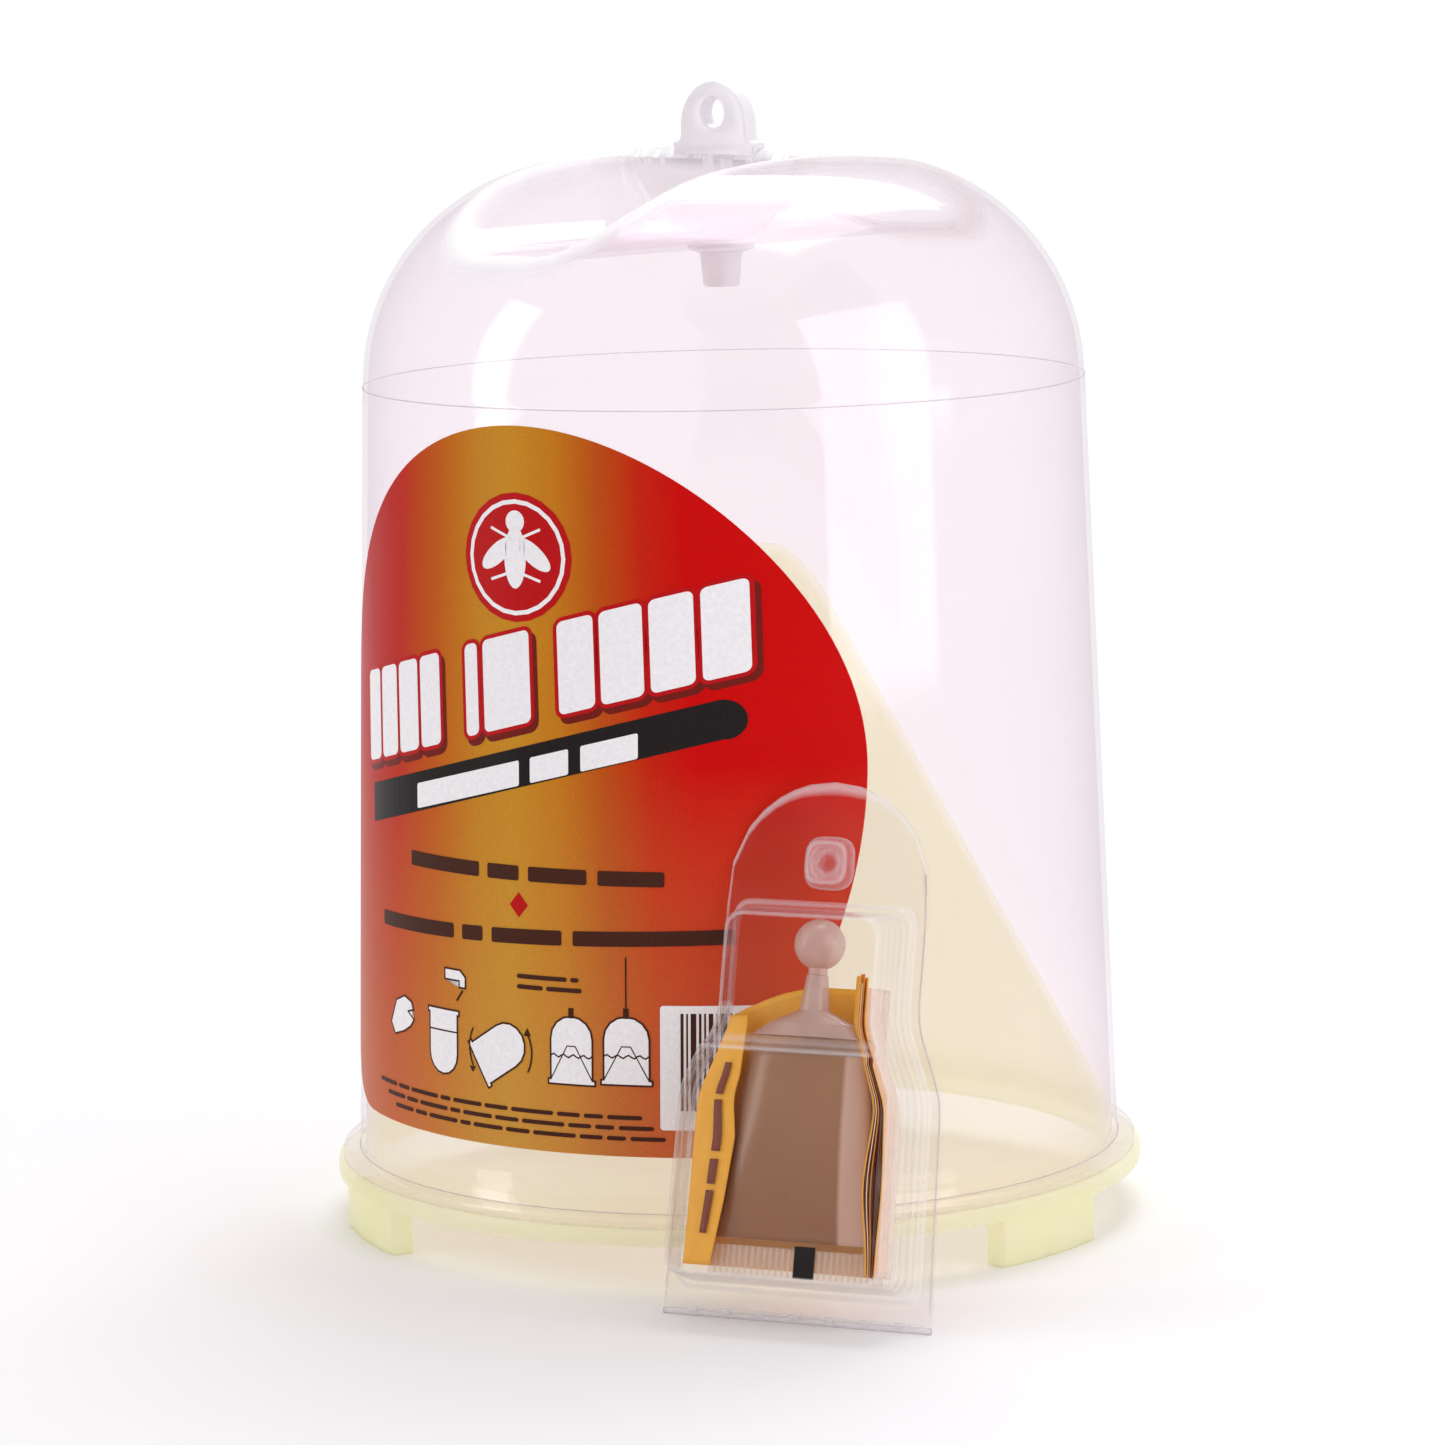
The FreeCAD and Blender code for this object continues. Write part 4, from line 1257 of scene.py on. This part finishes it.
def outline_rows(inset, card):
    """Half width and height of each row for the pocket, moved inwards, or for the card."""
    heights = np.array(rows, float)
    if card:
        knots = (POCKET_FOOT, 39.9, 52.8, POCKET_TOP)
        heights = np.interp(heights, knots, (CARD_FOOT, 39.9, 52.8, CARD_TOP))
        widths = side_width(heights, CARD_SIDE, 3.0)
        over = np.clip(heights - (CARD_TOP - ARCH_RADIUS), 0, ARCH_RADIUS)
        widths = np.where(over > 0, np.sqrt(ARCH_RADIUS**2 - over**2), widths)
        foot, corner = CARD_FOOT, 1.2
    else:
        share = (heights - POCKET_FOOT) / (POCKET_TOP - POCKET_FOOT)
        widths = side_width(heights, POCKET_SIDE, 2.2) - inset
        heights = heights + inset * (1 - 2 * share)
        foot, corner = POCKET_FOOT + inset, 3.0
        over = np.clip(heights - (POCKET_TOP - inset - corner), 0, corner)
        widths = widths - corner + np.sqrt(corner**2 - over**2)
    under = np.clip(foot + corner - heights, 0, corner)
    return widths - corner + np.sqrt(corner**2 - under**2), heights


def outline_ring(inset, card=False):
    """The outline as points round the edge of a grid: foot, right side, top, left side."""
    widths, heights = outline_rows(inset, card)
    spread = np.linspace(-1, 1, PACK_COLUMNS + 1)
    foot = [(widths[0] * s, heights[0]) for s in spread]
    right = [(w, h) for w, h in zip(widths[1:], heights[1:])]
    top = [(widths[-1] * s, heights[-1]) for s in spread[-2::-1]]
    left = [(-w, h) for w, h in zip(widths[-2:0:-1], heights[-2:0:-1])]
    return np.array(foot + right + top + left)


def pocket_depth(heights):
    """Depth of the pocket's face: the lower part stands further out."""
    rise = np.clip((np.asarray(heights) - STEP_HEIGHT + 0.9) / 1.8, 0, 1)
    rise = rise * rise * (3 - 2 * rise)
    return LOWER_DEPTH + (UPPER_DEPTH - LOWER_DEPTH) * rise


def ring_faces(rings, steps):
    """Faces between closed rings of points that follow one another."""
    return [
        (
            k * steps + i,
            k * steps + (i + 1) % steps,
            (k + 1) * steps + (i + 1) % steps,
            (k + 1) * steps + i,
        )
        for k in range(rings - 1)
        for i in range(steps)
    ]


def grid_faces(rows, columns, first=0):
    """Faces of a grid of points that starts at the point numbered first."""
    return [
        (a, a + 1, a + columns + 1, a + columns)
        for a in (
            first + i * columns + j for i in range(rows - 1) for j in range(columns - 1)
        )
    ]


sheet_rings, ring_bend_highlights = [], []


def add_ring(inset, level, bend_highlight=0.0, card=False):
    """One outline of the sheet at a level, whitened by its painted bend highlight."""
    ring = outline_ring(inset, card)
    sheet_rings.append(np.column_stack([ring, np.broadcast_to(level, len(ring))]))
    ring_bend_highlights.append(bend_highlight)


add_ring(0, FRONT_FACE - 0.12, 1.0, card=True)
card_ring = outline_ring(0, card=True)
pocket_ring = outline_ring(-0.5)
for share, bend_highlight in ((0.05, 0.9), (0.12, 0.0), (0.7, 0.0)):
    mixed = card_ring + (pocket_ring - card_ring) * share
    sheet_rings.append(np.column_stack([mixed, np.full(len(mixed), FRONT_FACE)]))
    ring_bend_highlights.append(bend_highlight)
rim_top = FRONT_FACE + RIM_HEIGHT
for inset, level, bend_highlight in (
    (-0.5, FRONT_FACE, 0.0),
    (-0.15, FRONT_FACE + 0.12, 0.8),
    (0.02, FRONT_FACE + 0.5, 0.5),
    (0.06, rim_top - 0.55, 0.1),
    (0.2, rim_top - 0.15, 0.9),
    (0.55, rim_top, 0.5),
    (RIM_INSET - 0.35, rim_top, 0.05),
    (RIM_INSET - 0.08, rim_top + 0.15, 0.7),
    (RIM_INSET + 0.02, rim_top + 0.55, 0.4),
):
    add_ring(inset, level, bend_highlight)
face_depth = pocket_depth(outline_ring(RIM_INSET)[:, 1])
wall_low = rim_top + 0.55
WALL_RIDGES = 4
RIDGE_STEP = 0.16
RIDGE_ROWS = ((0.1, 0.0, 0.3), (0.25, 0.0, 0.0), (0.74, 0.0, 0.0), (0.86, 0.5, 0.8))
for ridge in range(WALL_RIDGES):
    for part, jump, bend_highlight in RIDGE_ROWS:
        share = (ridge + part) / WALL_RIDGES
        level = wall_low + (face_depth - 0.9 - wall_low) * share
        draft = DRAFT * (level.mean() - rim_top) * 0.5
        add_ring(RIM_INSET + draft + RIDGE_STEP * (ridge + jump), level, bend_highlight)
wall_inset = RIM_INSET + DRAFT * 5.0 + RIDGE_STEP * WALL_RIDGES
for inset, drop, bend_highlight in ((0.0, 0.75, 0.1), (0.1, 0.4, 0.6), (0.35, 0.12, 1.0), (0.8, 0.0, 0.1)):
    level = pocket_depth(outline_ring(wall_inset + inset)[:, 1]) - drop
    add_ring(wall_inset + inset, level, bend_highlight)

face_widths, face_heights = outline_rows(wall_inset + 0.8, False)
columns = np.linspace(-1, 1, PACK_COLUMNS + 1)
face_grid = [
    [(w * c, h, float(pocket_depth([h])[0]) + 0.12 * (1 - c * c)) for c in columns]
    for w, h in zip(face_widths, face_heights)
]
sheet_bend_highlight = np.repeat(ring_bend_highlights, len(sheet_rings[0]))
# Painted highlight along the step across the pocket's face.
step_bend_highlight = np.exp(-(((face_heights - 46.7) / 0.35) ** 2)) + 0.5 * np.exp(
    -(((face_heights - 48.1) / 0.3) ** 2)
)
sheet_bend_highlight = np.concatenate([sheet_bend_highlight, np.repeat(np.minimum(step_bend_highlight, 1), len(columns))])
sheet_points = np.concatenate(sheet_rings)
ring_size = len(sheet_rings[0])
sheet_faces = ring_faces(len(sheet_rings), ring_size)
row_count, column_count = len(face_grid), len(columns)
sheet_faces += grid_faces(row_count, column_count, len(sheet_points))
flat_grid = np.array(face_grid)
edge_mask = np.ones((row_count, column_count), bool)
edge_mask[1:-1, 1:-1] = False
flat_grid[edge_mask, 2] = pocket_depth(flat_grid[edge_mask, 1])
sheet_points = np.concatenate([sheet_points, flat_grid.reshape(-1, 3)])


def pack_piece(name, points, faces, material, body, thickness=0.0, bend_highlight=None):
    """A pack piece from millimetres in the card's own axes, given a wall if it is a sheet."""
    ob = new_piece(name, points, faces, material)
    if bend_highlight is not None:
        values = ob.data.attributes.new("bend_highlight", "FLOAT", "POINT")
        values.data.foreach_set("value", np.asarray(bend_highlight, np.float32))
    work = bmesh.new()
    work.from_mesh(ob.data)
    bmesh.ops.remove_doubles(work, verts=work.verts, dist=2e-6)
    bmesh.ops.dissolve_degenerate(work, edges=work.edges, dist=1e-7)
    if thickness:
        outward = sum((f.normal.z * f.calc_area() for f in work.faces), 0.0)
        if outward < 0:
            bmesh.ops.reverse_faces(work, faces=work.faces)
    else:
        bmesh.ops.recalc_face_normals(work, faces=work.faces)
    work.to_mesh(ob.data)
    work.free()
    ob.data.transform(pack_place)
    if thickness:
        wall = ob.modifiers.new("wall", "SOLIDIFY")
        wall.thickness = thickness * MM
        wall.offset = -1.0
    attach(ob, body)
    return ob


front = pack_piece(
    "clamshell_front_sheet",
    sheet_points,
    sheet_faces,
    sheet_finish,
    "pack_front",
    FORMED_WALL,
    sheet_bend_highlight,
)
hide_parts("clamshell_front")
repaint("clamshell_back", sheet_finish)

# The snap button is a hollow rounded square pressed up out of the front card, with a
# dished middle where the six-sided stud of the back card comes up.

BUTTON_HEIGHT = 80.3
button_levels = ((4.75, 0.56), (4.3, 0.75), (4.15, 2.2), (3.95, 2.5), (3.5, 2.65), (3.0, 2.6))
button_levels += ((2.75, 2.3), (2.6, 1.75), (2.2, 1.6), (1.2, 1.55), (0.4, 1.55))
BUTTON_STEPS = 64
button_points = []
for half, level in button_levels:
    power = 0.6 if half > 2.8 else 0.85
    for a in full_turn(BUTTON_STEPS):
        c, sn = math.cos(a), math.sin(a)
        button_points.append(
            (
                half * math.copysign(abs(c) ** power, c),
                BUTTON_HEIGHT + half * math.copysign(abs(sn) ** power, sn),
                level,
            )
        )
button_faces = ring_faces(len(button_levels), BUTTON_STEPS)
button_faces.append(tuple(range(len(button_points) - BUTTON_STEPS, len(button_points))))
# Painted highlight: each ring of the button is given its own whiteness.
button_bend_highlight = np.repeat([0.9, 0.4, 0.2, 0.7, 1.0, 0.5, 0.9, 0.6, 0.8, 0.2, 0.1], BUTTON_STEPS)
pack_piece(
    "snap_button",
    button_points,
    button_faces,
    sheet_finish,
    "pack_front",
    BUTTON_WALL,
    button_bend_highlight,
)

# The fold at the foot is a rolled edge with short pressed notches, where the sheet was
# scored so that it would fold straight.


def repeat_in_line(material):
    """Geometry nodes that stand copies of a mesh along a straight line."""
    tree, given = blank_group(
        "repeat_in_line",
        ("Part", "Geometry"),
        ("Count", "Int"),
        ("Start", "Vector"),
        ("Step", "Vector"),
    )
    line = add_node(tree, "GeometryNodeMeshLine")
    copies = add_node(tree, "GeometryNodeInstanceOnPoints")
    wire(
        tree,
        (given, "Count", line, "Count"),
        (given, "Start", line, "Start Location"),
        (given, "Step", line, "Offset"),
        (line, "Mesh", copies, "Points"),
        (given, "Part", copies, "Instance"),
    )
    return close_group(tree, copies, "Instances", material)


def small_block(name, width, height, depth, bevel):
    """A rounded block in millimetres, centred on the origin."""
    work = bmesh.new()
    bmesh.ops.create_cube(work, size=1.0)
    bmesh.ops.scale(work, vec=Vector((width, height, depth)) * MM, verts=work.verts)
    bmesh.ops.bevel(
        work, geom=work.edges[:], offset=bevel * MM, segments=2, affect="EDGES", profile=0.5
    )
    mesh = bpy.data.meshes.new(name)
    work.to_mesh(mesh)
    work.free()
    return mesh


def pack_row(name, part, material, count, start, step, body):
    """A row of copies in the card's own axes, from millimetres."""
    inputs = {
        "Count": count,
        "Start": tuple(c * MM for c in start),
        "Step": tuple(c * MM for c in step),
    }
    ob = made_by(repeat_in_line(material), name, part, inputs)
    ob.data.transform(pack_place)
    ob.data.shade_smooth()
    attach(ob, body)
    return ob


fold_finish, _, _ = clear_plastic(
    "whitened_fold",
    (0.93, 0.92, 0.93, 1),
    (0.70, 0.68, 0.70, 1),
    (0.93, 0.92, 0.94, 1),
    0.12,
    0.3,
    0.7,
)
BEAD_RINGS, BEAD_STEPS = 24, 12
BEAD_RADIUS, BEAD_HALF = 0.62, 25.3
bead = [
    (u, BEAD_RADIUS * math.sin(a), BEAD_RADIUS * math.cos(a))
    for u in np.linspace(-BEAD_HALF, BEAD_HALF, BEAD_RINGS)
    for a in full_turn(BEAD_STEPS)
]
bead_faces = ring_faces(BEAD_RINGS, BEAD_STEPS)
bead_faces.append(tuple(range(BEAD_STEPS - 1, -1, -1)))
bead_faces.append(tuple(range(len(bead) - BEAD_STEPS, len(bead))))
pack_piece("fold_bead", bead, bead_faces, fold_finish, "pack")
notch = small_block("notch", 1.5, 1.1, 0.5, 0.16)
pack_row(
    "fold_notches", notch, fold_finish, 7, (-19.5, 0.55, 0.78), (6.5, 0, 0), "pack"
)

# ---------------------------------------------------------------- tube
# A squeezable sleeve of soft milky polyethylene, welded to a moulded shoulder and nozzle
# and sealed flat at its foot, with brown liquid inside and a ball grip to twist off.

liquid_finish, tree = blank_finish("brown_liquid")
liquid_place = add_node(tree, "ShaderNodeTexCoord")
depth_split = add_node(tree, "ShaderNodeSeparateXYZ")
# The liquid's colour is darker towards the bottom and lighter towards the top, with a cloudy noise
# over it.
height_ramp = rescale(tree, (0.012, 0.05))
liquid_cloud = noise(tree, 70.0, 3.0)
cloudy = add_node(tree, "ShaderNodeMath", {1: 0.5}, operation="MULTIPLY_ADD")
liquid_colour = two_tones(tree, (0.36, 0.125, 0.026), (0.47, 0.20, 0.065), 0.2, 1.0)
liquid_body = add_node(tree, "ShaderNodeBsdfPrincipled", {"Roughness": 0.2})
liquid_clear = add_node(tree, "ShaderNodeBsdfTransparent", {"Color": (0.72, 0.50, 0.30, 1)})
liquid_mix = add_node(tree, "ShaderNodeMixShader", {0: 0.72})
liquid_out = add_node(tree, "ShaderNodeOutputMaterial")
wire(
    tree,
    (liquid_place, "Object", depth_split, 0),
    (depth_split, "Z", height_ramp, "Value"),
    (liquid_cloud, "Fac", cloudy, 0),
    (height_ramp, "Result", cloudy, 2),
    (cloudy, 0, liquid_colour, "Fac"),
)
side_measure = add_node(tree, "ShaderNodeVectorMath", {1: pack_across}, operation="DOT_PRODUCT")
side_start = pack_foot.dot(pack_across)
pale_side = rescale(tree, (side_start + 0.0088, side_start + 0.0096), (0.0, 0.9))
pale_mix = add_node(tree, "ShaderNodeMix", data_type="RGBA")
pale_mix.inputs[7].default_value = (0.97, 0.66, 0.53, 1)
wire(
    tree,
    (liquid_place, "Object", side_measure, 0),
    (side_measure, "Value", pale_side, "Value"),
    (pale_side, "Result", pale_mix, 0),
    (liquid_colour, "Color", pale_mix, 6),
    (pale_mix, 2, liquid_body, "Base Color"),
    (liquid_clear, 0, liquid_mix, 1),
    (liquid_body, 0, liquid_mix, 2),
    (liquid_mix, 0, liquid_out, 0),
)
SEAL_TOP, SHOULDER_FOOT, FILL_TOP = 12.4, 49.3, 46.3
TUBE_SIDE, TUBE_OUT = 1.6, 6.1
SLEEVE_ROWS = ((12.4, 16.4, 0.45), (19.8, 15.2, 2.35), (31.6, 13.6, 4.04), (49.3, 11.6, 4.7))


def sleeve_skin(name, foot, top, wall, material):
    """The sleeve's round-sided body between two heights, moved inwards by wall."""
    spots, wides, deeps = zip(*SLEEVE_ROWS)
    points, rings, steps = [], 34, 72
    for height in np.linspace(foot, top, rings):
        near = np.clip(height + np.linspace(-3, 3, 13), spots[0], spots[-1])
        wide = float(np.interp(near, spots, wides).mean()) - wall
        deep = max(float(np.interp(near, spots, deeps).mean()) - wall, 0.22)
        deep = min(deep, float(np.interp(height, spots, deeps)) + 0.35 - wall * 0.5)
        for a in full_turn(steps):
            points.append((TUBE_SIDE + wide * math.cos(a), height, TUBE_OUT + deep * math.sin(a)))
    faces = ring_faces(rings, steps)
    faces.append(tuple(range(steps - 1, -1, -1)))
    faces.append(tuple(range((rings - 1) * steps, rings * steps)))
    return pack_piece(name, points, faces, material, "pack")


liquid = sleeve_skin("liquid_fill", SEAL_TOP + 1.2, FILL_TOP, 0.7, liquid_finish)
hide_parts("attractant")

sleeve_finish, sleeve_haze, _ = clear_plastic(
    "milky_polyethylene_sleeve",
    (0.97, 0.94, 0.92, 1),
    (0.80, 0.70, 0.66, 1),
    (0.80, 0.66, 0.56, 1),
    0.2,
    0.05,
    0.45,
    0.02,
)
tree = sleeve_finish.node_tree
streaks = noise(tree, 160.0, 3.0)
streak_amount = rescale(tree, result=(0.03, 0.09))
wire(
    tree,
    (streaks, "Fac", streak_amount, "Value"),
)
tree.links.new(streak_amount.outputs["Result"], sleeve_haze)
sleeve = sleeve_skin(
    "sleeve_body", SEAL_TOP, SHOULDER_FOOT, 0.0, sleeve_finish
)
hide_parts("tube_sleeve")
head_finish, _, head_milk = clear_plastic(
    "milky_polyethylene_head",
    (0.94, 0.84, 0.79, 1),
    (0.72, 0.58, 0.52, 1),
    (0.68, 0.46, 0.39, 1),
    0.25,
    0.58,
    0.35,
)
tree = head_finish.node_tree
head_cloud = noise(tree, 220.0, 3.0)
head_colour = two_tones(tree, (0.60, 0.37, 0.30), (0.80, 0.60, 0.53))
wire(
    tree,
    (head_cloud, "Fac", head_colour, "Fac"),
    (head_colour, "Color", head_milk, "Base Color"),
)
for name in ("tube_head", "twist_off_tip"):
    repaint(name, head_finish)

# The flat seal at the sleeve's foot is pressed with upright ribs, and a short dark bar is
# printed on it as a mark for the filling machine.
seal_finish, _, _ = clear_plastic(
    "milky_welded_seal",
    (0.96, 0.93, 0.91, 1),
    (0.80, 0.72, 0.68, 1),
    (0.93, 0.80, 0.72, 1),
    0.25,
    0.2,
    0.4,
)
seal = small_block("flat_seal", 32.8, 5.4, 0.9, 0.2)
seal_spot = (TUBE_SIDE, 9.75, TUBE_OUT)
pack_row("seal_flat", seal, seal_finish, 1, seal_spot, (0, 0, 0), "pack")
rib = small_block("seal_rib", 0.5, 4.9, 0.16, 0.07)
pack_row(
    "seal_ribs", rib, seal_finish, 27, (-13.4, 9.8, 6.62), (1.15, 0, 0), "pack"
)
bar_mesh = small_block("dark_mark", 3.9, 5.6, 0.1, 0.04)
pack_row(
    "filling_mark", bar_mesh, black_ink, 1, (3.4, 10.1, 6.78), (0, 0, 0), "pack"
)

# ---------------------------------------------------------------- leaflet
# Orange printed paper, folded round the back of the tube. Its left edge curls forwards and
# its right edge is a stack of folds that stands forward and opens like a book.


def paper_finish(name, colour, roughness):
    """Thin printed paper with a fine fibre."""
    material, tree, shader, fibre = mottled(name, colour, roughness, (600.0, 4.0), 0.86, 1.12)
    crease = add_node(tree, "ShaderNodeBump", {"Strength": 0.15, "Distance": 0.0003})
    wire(tree, (fibre, "Fac", crease, "Height"), (crease, "Normal", shader, "Normal"))
    return material


orange_paper = paper_finish("orange_printed_paper", (0.93, 0.43, 0.035), 0.5)
deep_paper = paper_finish("deep_orange_paper", (0.82, 0.27, 0.02), 0.5)
pale_paper = paper_finish("unprinted_paper_edge", (0.86, 0.66, 0.52), 0.6)
brown_paper = paper_finish("dark_print_and_painted_gap_shade", (0.20, 0.035, 0.012), 0.45)
LEAF_FOOT = 8.4
PAPER_WALL = 0.16
LEAF_SIDE = ((8.0, 19.5), (38.0, 19.0), (51.5, 13.9), (70.0, 13.9))


def paper_sheet(name, place_at, across_count, up_count, material):
    """A sheet of paper from a rule that places a point for shares across and up."""
    points = [
        place_at(i / across_count, j / up_count)
        for j in range(up_count + 1)
        for i in range(across_count + 1)
    ]
    faces = grid_faces(up_count + 1, across_count + 1)
    return pack_piece(name, points, faces, material, "pack", PAPER_WALL)


def leaf_half(height):
    """Half width of the leaflet at a height up the card."""
    return float(side_width([height], LEAF_SIDE, 1.6)[0])


fold_path = ((0.0, 33.7, 1.1), (0.42, 3.0, 1.0), (0.5, 0.8, 1.5), (0.58, 0.1, 3.0))
fold_path += ((0.72, 0.0, 6.2), (0.78, 0.4, 7.4))
fold_shares, fold_sides, fold_fronts = zip(*fold_path)
STRIP_WIDTH = ((8, 5.2), (20, 7.0), (31, 8.0), (42, 6.4), (48, 4.6), (56, 2.6))


def strip_width(height):
    """Width of the front strip of the curled fold, which tapers to the top."""
    return float(np.interp(height, *zip(*STRIP_WIDTH)))


def back_panel(share, up):
    """The panel behind the tube, its curled left fold and the strip in front."""
    in_front = max(0.0, (share - 0.78) / 0.22)
    from_edge = float(np.interp(share, fold_shares, fold_sides))
    out = float(np.interp(share, fold_shares, fold_fronts)) + 0.9 * math.sin(in_front * 1.5)
    top = 58.4 - 2.8 * max(0.0, (from_edge * -1 + 23.5) / 18.0) ** 2
    top -= 1.4 * min(1.0, max(0.0, (share - 0.5) / 0.2))
    height = LEAF_FOOT + (top - LEAF_FOOT) * up
    half = leaf_half(height)
    side = -half + from_edge * (half / 19.5) + in_front * strip_width(height)
    return min(side, half - 0.8), height, out + 0.12 * math.sin(height * 0.16 + side * 0.2)


leaflet = paper_sheet("leaflet_back_panel", back_panel, 60, 40, orange_paper)
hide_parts("leaflet")


def strip_mark(low, high):
    """A rule for one upright bar of plain print on the front strip."""

    def place_at(share, up):
        height = low + (high - low) * up
        side = -leaf_half(height) + strip_width(height) * (0.55 + 0.2 * share)
        return side, height, 8.72 + 0.12 * math.sin(height * 0.16 + side * 0.2)

    return place_at


for index, (low, high) in enumerate(((14.0, 21.5), (22.6, 27.0), (28.4, 37.4), (38.4, 44.0))):
    paper_sheet(f"leaflet_print_{index + 1}", strip_mark(low, high), 2, 12, brown_paper)


def side_turn(share, up):
    """The unprinted side that turns forward round the edge of the tube."""
    height = LEAF_FOOT + (58.5 - LEAF_FOOT) * up
    wall = leaf_half(height) - 1.1
    side = np.interp(share, (0, 0.3, 0.45, 0.8, 1.0), (13.4, wall - 0.6, wall, wall, wall - 2.4))
    out = np.interp(share, (0, 0.3, 0.45, 0.8, 1.0), (1.25, 2.4, 3.6, 6.6, 7.4))
    return float(side), height, float(out)


paper_sheet("leaflet_side_turn", side_turn, 20, 40, pale_paper)


FOLD_BACK, FOLD_FRONT, FOLD_FRONT_HIGH = 7.3, 10.5, 9.3
FOLD_STEP_HEIGHT = 45.5
FOLD_PITCH = 0.36


def standing_fold(order, opening, top):
    """A rule for one fold in front of the tube's edge, bowed towards its middle."""

    def place_at(share, up):
        height = LEAF_FOOT + (top - LEAF_FOOT) * up
        lens = opening * math.exp(-(((height - 24.0) / 9.5) ** 2))
        side = leaf_half(height) - 3.0 + 1.5 * share - FOLD_PITCH * order - lens
        room = FOLD_FRONT if height < FOLD_STEP_HEIGHT else FOLD_FRONT_HIGH
        out = FOLD_BACK + (room - FOLD_BACK + 0.12 * math.sin(height * 0.13 + order)) * share
        return side, height, out

    return place_at


# The dark fold fills the gap between the outer and middle folds: its dark brown is partly print
# and partly painted shade in that gap.
for order, (name, opening, top, material) in enumerate(
    (
        ("leaflet_fold_outer", -0.5, 60.2, orange_paper),
        ("leaflet_fold_dark", 0.3, 46.0, brown_paper),
        ("leaflet_fold_middle", 0.9, 60.8, deep_paper),
        ("leaflet_fold_pale", 1.2, 59.2, pale_paper),
        ("leaflet_fold_inner", 1.5, 60.4, orange_paper),
    )
):
    paper_sheet(name, standing_fold(order, opening, top), 10, 44, material)
